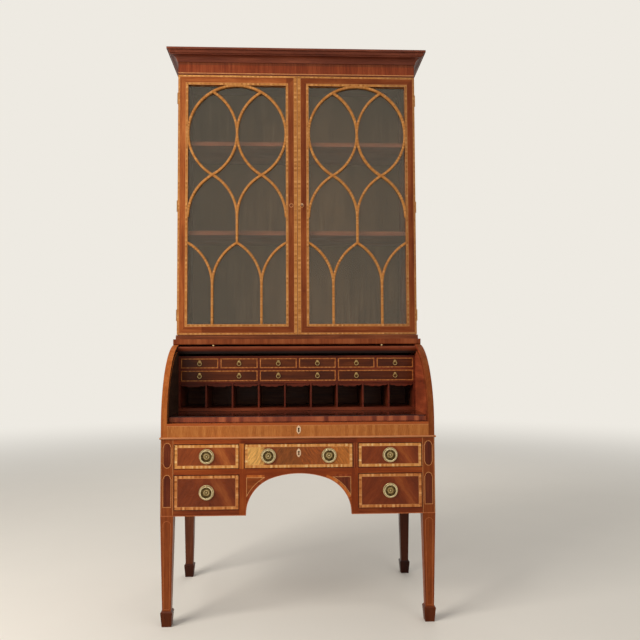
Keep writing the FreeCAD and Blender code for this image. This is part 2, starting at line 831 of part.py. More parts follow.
def pull_plate(x, z):
    """Round back plate with a raised rim and a domed boss, its eye, and the bolt and nut that hold it."""
    face = -plate_thickness
    plate = rod(plate_radius, Vector(x, face, z), Vector(x, 0, z))
    rim_front = face - plate_rim_proud
    rim = rod(plate_radius, Vector(x, rim_front, z), Vector(x, face, z))
    rim = rim.cut(rod(plate_radius - plate_rim_width, Vector(x, rim_front - overrun, z), Vector(x, face, z)))
    dome_ball = (plate_dome_radius ** 2 + plate_dome_height ** 2) / (2 * plate_dome_height)
    dome = Part.makeSphere(dome_ball, Vector(x, face - plate_dome_height + dome_ball, z))
    dome = dome.common(rod(plate_dome_radius, Vector(x, face - dome_ball, z), Vector(x, face, z)))
    ring, eye = ring_and_lug(x, 0, z + ring_radius, large_pull)
    bolt_end = drawer_front_thickness + pull_nut_thickness
    bolt = rod(pull_bolt_radius, Vector(x, 0, z), Vector(x, bolt_end, z))
    body = plate.multiFuse([rim, dome, eye, bolt])
    nut = rod(pull_nut_radius, Vector(x, drawer_front_thickness, z), Vector(x, bolt_end, z))
    nut = nut.cut(rod(pull_bolt_radius, Vector(x, 0, z), Vector(x, bolt_end + overrun, z)))
    return body, nut, ring


def large_drawer_front(left, right, floor, top, pulls):
    """Drawer front with a thin cockbead round it, bored for the bolts of its pulls."""
    front = box(left, right, 0, drawer_front_thickness, floor, top)
    bead = box(left, right, -cockbead_proud, 0, floor, top)
    inside = box(left + cockbead_width, right - cockbead_width, -cockbead_proud - overrun, 0,
                 floor + cockbead_width, top - cockbead_width)
    front = front.fuse(bead.cut(inside))
    for x, z in pulls:
        hole = rod(pull_bolt_radius + pull_bolt_clearance, Vector(x, -overrun, z),
                   Vector(x, drawer_front_thickness + overrun, z))
        front = front.cut(hole)
    return front.removeSplitter()


def make_large_drawer(name, left, right, floor, top, pull_xs):
    low_x = left + drawer_gap
    high_x = right - drawer_gap
    high_z = top - drawer_gap
    middle = (floor + top) / 2
    pulls = [(x, middle) for x in pull_xs]
    front = large_drawer_front(low_x, high_x, floor, high_z, pulls)
    pieces = tray(low_x, high_x, 0, drawer_depth, floor, high_z, large_wood)
    if len(pull_xs) > 1:
        key_z = middle + centre_escutcheon_rise
        front = front.cut(keyhole(0, key_z, -overrun, keyhole_depth))
        pieces += [escutcheon(key_z), lock_case(high_z - lock_case_height, high_z, drawer_front_thickness)]
    save(name, [front] + pieces)
    plates = []
    for index, (x, z) in enumerate(pulls):
        plate, nut, ring = pull_plate(x, z)
        plates += [plate, nut]
        suffix = "" if len(pulls) == 1 else "_" + str(index + 1)
        save(name + "_pull_ring" + suffix, [ring])
    save(name + "_pull_plate", plates)


def make_large_drawers():
    side_middle = (stile_outer + post_inner) / 2
    half_spacing = centre_pull_spacing / 2
    make_large_drawer("centre_drawer", -centre_half, centre_half, upper_drawer_floor, upper_drawer_top,
                      [-half_spacing, half_spacing])
    for level, floor, top in (("upper", upper_drawer_floor, upper_drawer_top),
                              ("lower", lower_drawer_floor, lower_drawer_top)):
        make_large_drawer(level + "_left_drawer", -post_inner, -stile_outer, floor, top, [-side_middle])
        make_large_drawer(level + "_right_drawer", stile_outer, post_inner, floor, top, [side_middle])


# Waist

def is_low_edge(edge, front):
    """True for the long lower edge at the front of the waist board."""
    centre = edge.CenterOfMass
    return abs(centre.y - front) < edge_match and abs(centre.z - cylinder_top) < edge_match


def plinth_cove(half, front):
    """Hollow run along the upper front edge of the plinth."""
    return rod(plinth_cove_radius, Vector(-half - overrun, front, bookcase_floor),
               Vector(half + overrun, front, bookcase_floor))


def make_waist():
    """Waist board, stopping just behind the tambour's knobs, and the plinth frame on it."""
    front = track_point(knob_head_reach, knob_degrees).y + knob_head_radius + waist_knob_gap
    board = box(-half_desk - waist_side_overhang, half_desk + waist_side_overhang, front, desk_depth,
                cylinder_top, plinth_floor)
    lower = [edge for edge in board.Edges if is_low_edge(edge, front)]
    board = board.makeFillet(waist_nose_radius, lower)
    save("waist_board", [board])
    half = half_bookcase + plinth_side_overhang
    plinth_front = bookcase_setback - plinth_projection
    outer = box(-half, half, plinth_front, desk_depth, plinth_floor, bookcase_floor)
    outer = outer.cut(plinth_cove(half, plinth_front))
    inner = box(-half + plinth_rail_width, half - plinth_rail_width, plinth_front + plinth_rail_width,
                desk_depth - plinth_rail_width, plinth_floor, bookcase_floor)
    save("bookcase_plinth", [outer.cut(inner)])


# Bookcase

def hinge_levels():
    return [door_floor + door_height * share for share in hinge_height_shares]


def leaf_recess(back_gap_front, back_gap_end):
    """Shallow pockets for the hinge leaves, cut into both faces beside the gap."""
    cutters = []
    for level in hinge_levels():
        cutters.append(box(half_bookcase - hinge_leaf_width, half_bookcase + overrun,
                           back_gap_front, back_gap_end,
                           level - hinge_height / 2, level + hinge_height / 2))
    return cutters


hinge_y = door_back_y + door_back_gap / 2
hinge_x = half_bookcase + hinge_knuckle_radius + hinge_stand_off


def make_bookcase_carcass():
    side = box(bookcase_inner, half_bookcase, carcass_front_y, desk_depth, bookcase_floor, frieze_top)
    for cutter in leaf_recess(hinge_y, hinge_y + hinge_leaf_thickness):
        side = side.cut(cutter)
    floor = box(-bookcase_inner, bookcase_inner, carcass_front_y, bookcase_back_y,
                bookcase_floor, bookcase_floor + bookcase_board_thickness)
    top = box(-bookcase_inner, bookcase_inner, carcass_front_y, bookcase_back_y,
              frieze_top - bookcase_board_thickness, frieze_top)
    save("bookcase_carcass", both_sides(side) + [top, floor])
    shelves = []
    for share in shelf_height_shares:
        level = bookcase_floor + share * (frieze_top - bookcase_floor)
        shelves.append(box(-bookcase_inner, bookcase_inner, carcass_front_y + shelf_setback, bookcase_back_y,
                           level - shelf_thickness / 2, level + shelf_thickness / 2))
    save("bookcase_shelves", shelves)
    boards = []
    width = 2 * bookcase_inner / back_board_count
    for index in range(back_board_count):
        left = -bookcase_inner + index * width + back_board_gap / 2
        boards.append(box(left, left + width - back_board_gap, bookcase_back_y, desk_depth,
                          bookcase_floor, frieze_top))
    save("bookcase_back_boards", boards)


def make_cornice():
    """Frieze over the doors and the flared cornice, its face a cove under a cyma and a square lip."""
    frieze = box(-half_bookcase, half_bookcase, frieze_front_y, carcass_front_y, frieze_floor, frieze_top)
    cove_out = cornice_fillet_width + cornice_cove_width
    cove_top = cornice_fillet_height + cornice_cove_height
    step_out = cove_out + cornice_step_width
    step_top = cove_top + cornice_step_height
    cyma_out = step_out + cornice_cyma_width
    cyma_top = step_top + cornice_cyma_height
    lip_out = cyma_out + cornice_lip_width
    lip_top = cyma_top + cornice_lip_height
    cove_middle = (cornice_fillet_width + cornice_cove_width * cove_sag_share,
                   cove_top - cornice_cove_height * cove_sag_share)
    bulge = cyma_sag_share * cornice_cyma_width
    quarter_out = cornice_cyma_width / 4
    quarter_height = cornice_cyma_height / 4
    outline = [(0, 0), (cornice_fillet_width, 0), (cornice_fillet_width, cornice_fillet_height),
               cove_middle + (cove_out, cove_top), (step_out, cove_top), (step_out, step_top),
               (step_out + quarter_out + bulge, step_top + quarter_height - bulge,
                step_out + 2 * quarter_out, step_top + 2 * quarter_height),
               (cyma_out - quarter_out - bulge, cyma_top - quarter_height + bulge, cyma_out, cyma_top),
               (lip_out, cyma_top), (lip_out, lip_top)]
    block = moulded_block(outline, half_bookcase, frieze_front_y, frieze_top)
    inner = box(-half_bookcase + cornice_band, half_bookcase - cornice_band, frieze_front_y + cornice_band,
                desk_depth - cornice_band, frieze_top - overrun, frieze_top + lip_top + overrun)
    save("cornice_and_frieze", [block.cut(inner), frieze])


# Doors

door_inner_x = door_meeting_gap / 2
glass_left = door_inner_x + meeting_stile_width
glass_right = half_bookcase - outer_stile_width
glass_low = door_floor + bottom_rail_width
glass_high = door_top - top_rail_width
tracery_front_y = bookcase_setback + tracery_recess
glass_front_y = tracery_front_y + tracery_thickness
glass_back_y = glass_front_y + glass_thickness
lock_x = door_inner_x + door_lock_from_edge
lock_z = door_floor + door_height * door_lock_height_share


def door_frame_pieces(bored):
    """Two stiles and two rails of the right door, rebated at the back for the glass."""
    y0 = bookcase_setback
    y1 = door_back_y
    whole = box(door_inner_x, half_bookcase, y0, y1, door_floor, door_top)
    whole = whole.cut(box(glass_left, glass_right, y0 - overrun, y1 + overrun, glass_low, glass_high))
    whole = whole.cut(box(glass_left - glass_rebate, glass_right + glass_rebate, glass_front_y, y1 + overrun,
                          glass_low - glass_rebate, glass_high + glass_rebate))
    for cutter in leaf_recess(hinge_y - hinge_leaf_thickness, hinge_y):
        whole = whole.cut(cutter)
    if bored:
        whole = whole.cut(rod(key_stem_radius + key_bore_slack, Vector(lock_x, y0 - overrun, lock_z),
                              Vector(lock_x, y1 + overrun, lock_z)))
    blocks = [box(door_inner_x, glass_left, y0, y1, door_floor, door_top),
              box(glass_right, half_bookcase, y0, y1, door_floor, door_top),
              box(glass_left, glass_right, y0, y1, door_floor, glass_low),
              box(glass_left, glass_right, y0, y1, glass_high, door_top)]
    return [whole.common(block) for block in blocks]


def bar_arc(centre_x, centre_z, radius, start, end):
    """Curved glazing bar in the plane of the door, with angles from +X towards +Z."""
    half = tracery_bar_width / 2

    def place(distance, degrees):
        angle = math.radians(degrees)
        return Vector(centre_x + distance * math.cos(angle), tracery_front_y,
                      centre_z + distance * math.sin(angle))

    middle = (start + end) / 2
    outer = radius + half
    inner = radius - half
    edges = [arc(place(outer, start), place(outer, middle), place(outer, end)),
             line(place(outer, end), place(inner, end)),
             arc(place(inner, end), place(inner, middle), place(inner, start)),
             line(place(inner, start), place(outer, start))]
    return swept_face(edges, Vector(0, tracery_thickness, 0))


def bar_upright(x, low, high):
    half = tracery_bar_width / 2
    return box(x - half, x + half, tracery_front_y, glass_front_y, low, high)


def make_tracery_solid():
    """Gothic glazing bars of the right door: two almond shapes side by side, two more below them that
    open into uprights, and a row of pointed arches at the foot. Every arc has half the opening as radius."""
    width = glass_right - glass_left
    radius = width / 2
    left = glass_left
    middle = glass_left + radius
    right = glass_right
    point = tracery_arch_degrees
    rise = radius * math.sin(math.radians(point))
    top_centre = glass_high - radius
    low_centre = top_centre - 2 * rise
    apex = low_centre - (low_centre - rise - glass_low) * tracery_upper_upright_share
    spring = apex - rise
    quarter_left = left + radius / 2
    quarter_right = right - radius / 2
    bars = [bar_arc(middle, top_centre, radius, -point, point),
            bar_arc(middle, top_centre, radius, point, 2 * point),
            bar_arc(middle, top_centre, radius, 2 * point, 4 * point),
            bar_upright(middle, apex, low_centre),
            bar_upright(quarter_left, glass_low, spring),
            bar_upright(quarter_right, glass_low, spring)]
    for centre_x, centre_z in ((left, low_centre), (middle, low_centre),
                               (quarter_left, spring), (quarter_left - radius, spring)):
        bars.append(bar_arc(centre_x, centre_z, radius, 0, point))
    for centre_x, centre_z in ((right, low_centre), (middle, low_centre),
                               (quarter_right, spring), (quarter_right + radius, spring)):
        bars.append(bar_arc(centre_x, centre_z, radius, 2 * point, 3 * point))
    bars.append(bar_arc(left, top_centre, radius, -point, point))
    bars.append(bar_arc(right, top_centre, radius, 2 * point, 4 * point))
    solid = bars[0].multiFuse(bars[1:])
    solid = solid.common(box(left, right, tracery_front_y, glass_front_y, glass_low, glass_high))
    return solid.removeSplitter()


def glazing_beads():
    """Thin strips that hold the glass into its rebate from behind."""
    reach = glass_rebate
    y0 = glass_back_y
    y1 = glass_back_y + glazing_bead_size
    left = glass_left - reach
    right = glass_right + reach
    low = glass_low - reach
    high = glass_high + reach
    size = glazing_bead_size
    return [box(left, left + size, y0, y1, low, high), box(right - size, right, y0, y1, low, high),
            box(left + size, right - size, y0, y1, low, low + size),
            box(left + size, right - size, y0, y1, high - size, high)]


def glass_pane():
    reach = glass_rebate - glass_clearance
    return box(glass_left - reach, glass_right + reach, glass_front_y, glass_back_y,
               glass_low - reach, glass_high + reach)


def knuckle_spans(level):
    """Heights of the knuckles of one hinge, from the bottom up."""
    step = hinge_height / hinge_knuckle_count
    low = level - hinge_height / 2
    return [(low + index * step + hinge_knuckle_gap / 2, low + (index + 1) * step - hinge_knuckle_gap / 2)
            for index in range(hinge_knuckle_count)]


def hinge_leaf(level, spans, y0, y1):
    """Leaf of a butt hinge on the right door, with webs to its own knuckles."""
    leaf = box(half_bookcase - hinge_leaf_width, half_bookcase, y0, y1,
               level - hinge_height / 2, level + hinge_height / 2)
    for low, high in spans:
        web = box(half_bookcase, hinge_x, y0, y1, low, high)
        knuckle = rod(hinge_knuckle_radius, Vector(hinge_x, hinge_y, low), Vector(hinge_x, hinge_y, high))
        leaf = leaf.fuse(web).fuse(knuckle)
    return leaf


def fixed_hinge_leaves():
    leaves = []
    for level in hinge_levels():
        spans = knuckle_spans(level)
        leaf = hinge_leaf(level, spans[0::2], hinge_y, hinge_y + hinge_leaf_thickness)
        pin = rod(hinge_pin_radius, Vector(hinge_x, hinge_y, spans[0][0]),
                  Vector(hinge_x, hinge_y, spans[-1][1]))
        leaves.append(leaf.fuse(pin).removeSplitter())
    return leaves


def moving_hinge_leaves():
    leaves = []
    for level in hinge_levels():
        spans = knuckle_spans(level)
        leaf = hinge_leaf(level, spans[1::2], hinge_y - hinge_leaf_thickness, hinge_y)
        bore = rod(hinge_pin_radius + hinge_pin_clearance, Vector(hinge_x, hinge_y, spans[0][0] - overrun),
                   Vector(hinge_x, hinge_y, spans[-1][1] + overrun))
        leaves.append(leaf.cut(bore))
    return leaves


def make_doors():
    save("right_door_frame", door_frame_pieces(True))
    save("left_door_frame", [mirrored(piece) for piece in door_frame_pieces(False)])
    bars = [make_tracery_solid()] + glazing_beads()
    save("right_door_tracery", bars)
    save("left_door_tracery", [mirrored(piece) for piece in bars])
    save("right_door_glass", [glass_pane()])
    save("left_door_glass", [mirrored(glass_pane())])
    fixed = fixed_hinge_leaves()
    save("hinge_fixed_leaves", fixed + [mirrored(leaf) for leaf in fixed])
    moving = moving_hinge_leaves()
    save("right_door_hinge_leaves", moving)
    save("left_door_hinge_leaves", [mirrored(leaf) for leaf in moving])


def make_door_lock_and_key():
    """Rim lock behind the right meeting stile, hollow for the key's bit, and the key in it."""
    half = door_lock_width / 2
    back = door_back_y + door_lock_thickness
    case = box(lock_x - half, lock_x + half, door_back_y, back,
               lock_z - door_lock_height / 2, lock_z + door_lock_height / 2)
    cavity_radius = key_stem_radius + key_bit_length + key_bit_clearance
    cavity = rod(cavity_radius, Vector(lock_x, door_back_y + door_lock_plate, lock_z),
                 Vector(lock_x, back - door_lock_plate, lock_z))
    bore = rod(key_stem_radius + key_stem_clearance, Vector(lock_x, door_back_y - overrun, lock_z),
               Vector(lock_x, back - door_lock_plate, lock_z))
    save("right_door_lock", [case.cut(cavity).cut(bore)])
    tip = back - door_lock_plate - key_bit_setback
    start = bookcase_setback - key_stem_out
    stem = rod(key_stem_radius, Vector(lock_x, start, lock_z), Vector(lock_x, tip, lock_z))
    bit = box(lock_x - key_stem_radius / 2, lock_x + key_stem_radius / 2, tip - key_bit_width, tip,
              lock_z - key_stem_radius - key_bit_length, lock_z)
    bow_line_radius = key_bow_radius - key_bow_wire_radius
    bow = Part.makeTorus(bow_line_radius, key_bow_wire_radius,
                         Vector(lock_x, start - bow_line_radius, lock_z), Vector(1, 0, 0))
    save("door_key", [stem.fuse(bit).fuse(bow)])


os.makedirs("parts", exist_ok=True)
make_legs()
make_front_frame()
make_apron()
make_case_panels()
make_drawer_runners()
make_bead_moulding()
make_cylinder_ends()
make_cylinder_deck()
make_lock_rail()
make_tambour()
make_knobs()
make_writing_slide()
make_pigeonhole_case()
make_small_drawers()
make_large_drawers()
make_waist()
make_bookcase_carcass()
make_cornice()
make_doors()
make_door_lock_and_key()
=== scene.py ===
import math
import bmesh
import bpy
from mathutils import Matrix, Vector


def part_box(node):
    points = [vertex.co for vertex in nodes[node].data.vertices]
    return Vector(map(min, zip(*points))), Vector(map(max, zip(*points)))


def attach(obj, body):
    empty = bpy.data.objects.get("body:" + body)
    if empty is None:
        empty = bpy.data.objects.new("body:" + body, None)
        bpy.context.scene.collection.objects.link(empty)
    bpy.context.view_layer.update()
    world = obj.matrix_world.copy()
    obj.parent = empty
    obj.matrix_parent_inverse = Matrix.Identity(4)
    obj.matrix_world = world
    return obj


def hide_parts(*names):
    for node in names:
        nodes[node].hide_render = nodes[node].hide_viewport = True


# Tambour secretary bookcase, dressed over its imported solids. Metres, Z up, front towards -Y.
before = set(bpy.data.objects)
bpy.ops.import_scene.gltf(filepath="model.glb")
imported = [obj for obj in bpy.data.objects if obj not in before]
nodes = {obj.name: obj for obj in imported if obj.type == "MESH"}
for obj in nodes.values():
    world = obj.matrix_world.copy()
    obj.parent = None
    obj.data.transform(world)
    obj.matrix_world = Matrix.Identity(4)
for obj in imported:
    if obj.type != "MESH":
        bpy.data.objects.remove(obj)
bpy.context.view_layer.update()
mm = 0.001

largeDrawers = ["upper_left_drawer", "centre_drawer", "upper_right_drawer",
                "lower_left_drawer", "lower_right_drawer"]
upperSmall = ["upper_small_drawer_" + str(n) for n in range(1, 7)]
lowerSmall = ["lower_small_drawer_" + str(n) for n in range(1, 4)]
doorNames = {"left": -1, "right": 1}  # door and the side of the middle that it is on
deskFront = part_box("desk_front_frame")[0].y
drawerJoint = 0.7 * mm  # gap between a large drawer and the frame round it


def tint(red, green, blue):
    # screen colour from 0 to 255, turned into the linear colour that sockets take
    parts = [value / 255 for value in (red, green, blue)]
    return tuple(p / 12.92 if p <= 0.04045 else ((p + 0.055) / 1.055) ** 2.4 for p in parts) + (1.0,)


# Node helpers

def feed(tree, value, socket):
    if isinstance(value, bpy.types.NodeSocket):
        tree.links.new(value, socket)
    elif value is not None:
        socket.default_value = value


def fill(tree, node, values):
    # each value into the socket of its name
    for name, value in values.items():
        feed(tree, value, node.inputs[name])


def calc(tree, operation, a, b=None, clamp=False, c=None):
    made = tree.nodes.new("ShaderNodeMath")
    made.operation = operation
    made.use_clamp = clamp
    feed(tree, a, made.inputs[0])
    feed(tree, b, made.inputs[1])
    feed(tree, c, made.inputs[2])
    return made.outputs[0]


def times(tree, a, b, clamp=False):
    return calc(tree, "MULTIPLY", a, b, clamp)


def plus(tree, a, b, clamp=False):
    return calc(tree, "ADD", a, b, clamp)


def timesPlus(tree, a, b, c, clamp=False):
    return calc(tree, "MULTIPLY_ADD", a, b, clamp, c)


def minus(tree, a, b):
    return calc(tree, "SUBTRACT", a, b)


def greater(tree, a, b):
    return calc(tree, "GREATER_THAN", a, b)


def less(tree, a, b):
    return calc(tree, "LESS_THAN", a, b)


def absolute(tree, a):
    return calc(tree, "ABSOLUTE", a)


def blendColours(tree, share, a, b, mode="MIX"):
    made = tree.nodes.new("ShaderNodeMix")
    made.data_type = "RGBA"
    made.blend_type = mode
    feed(tree, share, made.inputs[0])
    feed(tree, a, made.inputs[6])
    feed(tree, b, made.inputs[7])
    return made.outputs[2]


def shadedBy(tree, share, colour, shade):
    # colour times another one, by a share
    return blendColours(tree, share, colour, shade, "MULTIPLY")


def blendVectors(tree, share, a, b):
    made = tree.nodes.new("ShaderNodeMix")
    made.data_type = "VECTOR"
    feed(tree, share, made.inputs[0])
    feed(tree, a, made.inputs[4])
    feed(tree, b, made.inputs[5])
    return made.outputs[1]


def threeColours(tree, tone, dark, mid, light):
    low = times(tree, tone, 2.0, True)
    high = timesPlus(tree, tone, 2.0, -1.0, True)
    return blendColours(tree, high, blendColours(tree, low, dark, mid), light)


def scaled(tree, vector, factors):
    made = tree.nodes.new("ShaderNodeVectorMath")
    made.operation = "MULTIPLY"
    feed(tree, vector, made.inputs[0])
    made.inputs[1].default_value = factors
    return made.outputs[0]


def shifted(tree, vector, offset):
    made = tree.nodes.new("ShaderNodeVectorMath")
    made.operation = "ADD"
    feed(tree, vector, made.inputs[0])
    feed(tree, offset, made.inputs[1])
    return made.outputs[0]


def split(tree, vector):
    made = tree.nodes.new("ShaderNodeSeparateXYZ")
    feed(tree, vector, made.inputs[0])
    return made.outputs


def joined(tree, x, y, z):
    made = tree.nodes.new("ShaderNodeCombineXYZ")
    for socket, value in zip(made.inputs, (x, y, z)):
        feed(tree, value, socket)
    return made.outputs[0]


def noise(tree, vector, scale, detail=2.0, rough=0.5, distortion=0.0):
    made = tree.nodes.new("ShaderNodeTexNoise")
    fill(tree, made, {"Vector": vector, "Scale": scale, "Detail": detail, "Roughness": rough,
                      "Distortion": distortion})
    return made.outputs[0]


def chance(tree, number):
    made = tree.nodes.new("ShaderNodeTexWhiteNoise")
    made.noise_dimensions = "1D"
    feed(tree, number, made.inputs["W"])
    return made.outputs["Value"]


def fade(tree, value, start, end):
    # 0 below start and 1 above end, or the other way round where start is the larger
    made = tree.nodes.new("ShaderNodeMapRange")
    made.interpolation_type = "SMOOTHSTEP"
    feed(tree, value, made.inputs[0])
    made.inputs[1].default_value = min(start, end)
    made.inputs[2].default_value = max(start, end)
    made.inputs[3].default_value = 0.0 if start < end else 1.0
    made.inputs[4].default_value = 1.0 if start < end else 0.0
    return made.outputs[0]


def centred(tree, value, amount):
    # value round 0.5 turned into a swing round zero
    return times(tree, minus(tree, value, 0.5), amount)


def newGroup(name, inputs, outputs):
    tree = bpy.data.node_groups.new(name, "ShaderNodeTree")
    for label, kind, value in inputs:
        made = tree.interface.new_socket(name=label, in_out="INPUT", socket_type="NodeSocket" + kind)
        if value is not None:
            made.default_value = value
    for label, kind in outputs:
        tree.interface.new_socket(name=label, in_out="OUTPUT", socket_type="NodeSocket" + kind)
    return tree, tree.nodes.new("NodeGroupInput").outputs, tree.nodes.new("NodeGroupOutput")


def placeGroup(tree, group, **values):
    made = tree.nodes.new("ShaderNodeGroup")
    made.node_tree = group
    fill(tree, made, values)
    return made.outputs


# Effects that several finishes share

toneSockets = [("Dark", "Color", None), ("Mid", "Color", None), ("Light", "Color", None)]


def buildGrainTurn():
    # turns object coordinates so that the grain group, which runs along Z, follows X, Y or Z
    tree, given, result = newGroup("grainTurn", [("Vector", "Vector", None)],
                                   [("AlongX", "Vector"), ("AlongY", "Vector"), ("AlongZ", "Vector")])
    x, y, z = split(tree, given["Vector"])
    fill(tree, result, {"AlongX": joined(tree, y, z, x), "AlongY": joined(tree, z, x, y),
                        "AlongZ": joined(tree, x, y, z)})
    return tree


# Layers of a hardwood's figure: stretch along the grain, then scale, detail, roughness and distortion
grainLayers = {
    "fine": (0.035, 420, 3, 0.6, 0.0), "streak": (0.05, 130, 4, 0.6, 0.3), "ribbon": (0.06, 42, 2, 0.5, 0.5),
    "figure": (0.33, 8, 3, 0.55, 1.4), "pores": (0.028, 1500, 1, 0.5, 0.0),
}

# How far each layer swings the tone, under the strength of its socket
grainSwings = (("fine", "Fibre", 0.9), ("streak", "Fibre", 1.3), ("ribbon", "Ribbon", 1.8),
               ("figure", "Figure", 1.8))


def buildTimberGrain():
    # fibres, ribbon stripe, broad figure and pores of polished hardwood
    tree, given, result = newGroup(
        "timberGrain",
        [("Vector", "Vector", None), ("Offset", "Float", 0.0), ("Fibre", "Float", 0.5),
         ("Figure", "Float", 0.6), ("Ribbon", "Float", 0.3), ("Pores", "Float", 0.4)] + toneSockets,
        [("Color", "Color"), ("Height", "Float")])
    offset = joined(tree, given["Offset"], given["Offset"], given["Offset"])
    place = shifted(tree, given["Vector"], offset)
    layers = {}
    for name, (stretch, scale, detail, rough, distortion) in grainLayers.items():
        layers[name] = noise(tree, scaled(tree, place, (1, 1, stretch)), scale, detail, rough, distortion)
    tone = 0.5
    for name, strength, swing in grainSwings:
        lift = times(tree, centred(tree, layers[name], swing), given[strength])
        tone = plus(tree, tone, lift, name == "figure")
    colour = threeColours(tree, tone, given["Dark"], given["Mid"], given["Light"])
    pores = times(tree, fade(tree, layers["pores"], 0.58, 0.7), given["Pores"])
    colour = blendColours(tree, pores, colour, blendColours(tree, 0.6, given["Dark"], (0, 0, 0, 1)))
    height = minus(tree, times(tree, layers["fine"], 0.4), pores)
    fill(tree, result, {"Color": colour, "Height": height})
    return tree


# How unevenly the pieces of a crossband are cut and laid, and how their colour swings
bandFigure = {"wander": 0.55, "wanderBy": 1.6, "randomBy": 1.0, "turnedBy": 0.55, "softness": 0.45,
              "slip": 3.0, "fibreStretch": 0.05, "fibreScale": 900, "fibreBy": 1.5, "seam": 0.09,
              "seamDark": 0.35, "fibreRaise": 0.3}


def buildCrossband():
    # short pieces of veneer laid side by side, grain across the band; UV is metres along and across
    tree, given, result = newGroup(
        "crossband",
        [("Vector", "Vector", None), ("Pitch", "Float", 0.014), ("Blocks", "Float", 0.5),
         ("Fibre", "Float", 0.5)] + toneSockets,
        [("Color", "Color"), ("Height", "Float")])
    along, across, spare = split(tree, given["Vector"])
    share = calc(tree, "DIVIDE", along, given["Pitch"])
    wander = noise(tree, joined(tree, share, 0.0, 0.0), bandFigure["wander"], 1)
    share = plus(tree, share, centred(tree, wander, bandFigure["wanderBy"]))
    cell = calc(tree, "FLOOR", share)
    part = calc(tree, "FRACT", share)
    random = chance(tree, cell)
    # every second piece comes from the turned side of the sheet
    turned = calc(tree, "MODULO", absolute(tree, cell), 2.0)
    swing = centred(tree, random, bandFigure["randomBy"])
    swing = plus(tree, swing, centred(tree, turned, bandFigure["turnedBy"]))
    soft = calc(tree, "SINE", times(tree, part, math.pi))
    swing = times(tree, swing, calc(tree, "POWER", soft, bandFigure["softness"]))
    slip = times(tree, random, bandFigure["slip"])
    fibre = joined(tree, along, slip, times(tree, across, bandFigure["fibreStretch"]))
    fine = noise(tree, fibre, bandFigure["fibreScale"], 3, 0.6)
    tone = plus(tree, 0.5, times(tree, swing, given["Blocks"]))
    tone = plus(tree, tone, times(tree, centred(tree, fine, bandFigure["fibreBy"]), given["Fibre"]), True)
    colour = threeColours(tree, tone, given["Dark"], given["Mid"], given["Light"])
    seam = fade(tree, soft, bandFigure["seam"], 0.0)
    colour = blendColours(tree, times(tree, seam, bandFigure["seamDark"]), colour, given["Dark"])
    height = minus(tree, times(tree, fine, bandFigure["fibreRaise"]), seam)
    fill(tree, result, {"Color": colour, "Height": height})
    return tree


def buildPolish():
    # waxed shine that varies over a surface: rubbed patches, cloth marks and a little dullness
    tree, given, result = newGroup("waxPolish", [("Vector", "Vector", None), ("Low", "Float", 0.28),
                                                 ("High", "Float", 0.46)], [("Roughness", "Float")])
    patches = noise(tree, given["Vector"], 5.5, 3, 0.6, 0.5)
    marks = noise(tree, scaled(tree, given["Vector"], (1, 1, 2.5)), 60, 2, 0.5)
    share = plus(tree, fade(tree, patches, 0.3, 0.7), centred(tree, marks, 0.5), True)
    spread = minus(tree, given["High"], given["Low"])
    fill(tree, result, {"Roughness": timesPlus(tree, share, spread, given["Low"])})
    return tree


def buildMellow():
    # slow change of colour over a board: faded by light here, darker wax there
    tree, given, result = newGroup("mellowing", [("Vector", "Vector", None), ("Color", "Color", None),
                                                 ("Amount", "Float", 0.3)], [("Color", "Color")])
    slow = noise(tree, given["Vector"], 2.6, 3, 0.6, 0.8)
    specks = noise(tree, given["Vector"], 36, 3, 0.6)
    faded = times(tree, fade(tree, slow, 0.42, 0.75), given["Amount"])
    bleached = shadedBy(tree, 1.0, given["Color"], (1.55, 1.5, 1.4, 1))
    colour = blendColours(tree, faded, given["Color"], bleached)
    dark = times(tree, fade(tree, specks, 0.6, 0.8), given["Amount"])
    colour = shadedBy(tree, dark, colour, (0.25, 0.12, 0.07, 1))
    fill(tree, result, {"Color": colour})
    return tree


def buildPatina():
    # old brass: bright where hands rub it, brown and green in the hollows
    tree, given, result = newGroup(
        "brassPatina",
        [("Vector", "Vector", None), ("Bright", "Color", None), ("Mid", "Color", None),
         ("Deep", "Color", None), ("Tarnish", "Float", 0.5), ("Hollow", "Float", 0.0)],
        [("Color", "Color"), ("Roughness", "Float"), ("Height", "Float")])
    blotches = noise(tree, given["Vector"], 160, 4, 0.65, 0.6)
    grit = noise(tree, given["Vector"], 1400, 2, 0.6)
    share = times(tree, fade(tree, blotches, 0.35, 0.75), given["Tarnish"])
    share = plus(tree, share, given["Hollow"], True)
    share = plus(tree, share, centred(tree, grit, 0.25), True)
    colour = threeColours(tree, share, given["Bright"], given["Mid"], given["Deep"])
    rough = timesPlus(tree, share, 0.3, 0.24)
    fill(tree, result, {"Color": colour, "Roughness": rough, "Height": grit})
    return tree


grainTurn = buildGrainTurn()
timberGrain = buildTimberGrain()
crossband = buildCrossband()
waxPolish = buildPolish()
mellowing = buildMellow()
brassPatina = buildPatina()
print("scene: shared effects built")


# Materials

def newMaterial(name):
    material = bpy.data.materials.new(name)
    material.use_nodes = True
    tree = material.node_tree
    tree.nodes.clear()
    shader = tree.nodes.new("ShaderNodeBsdfPrincipled")
    out = tree.nodes.new("ShaderNodeOutputMaterial")
    tree.links.new(shader.outputs[0], out.inputs[0])
    place = tree.nodes.new("ShaderNodeTexCoord").outputs["Object"]
    return material, tree, shader, place


def outputOf(tree):
    return next(node for node in tree.nodes if node.type == "OUTPUT_MATERIAL")


def objectNormal(tree):
    return tree.nodes.new("ShaderNodeTexCoord").outputs["Normal"]


def runPlace(tree):
    # metres along a strip and across it
    made = tree.nodes.new("ShaderNodeUVMap")
    made.uv_map = "run"
    return made.outputs[0]


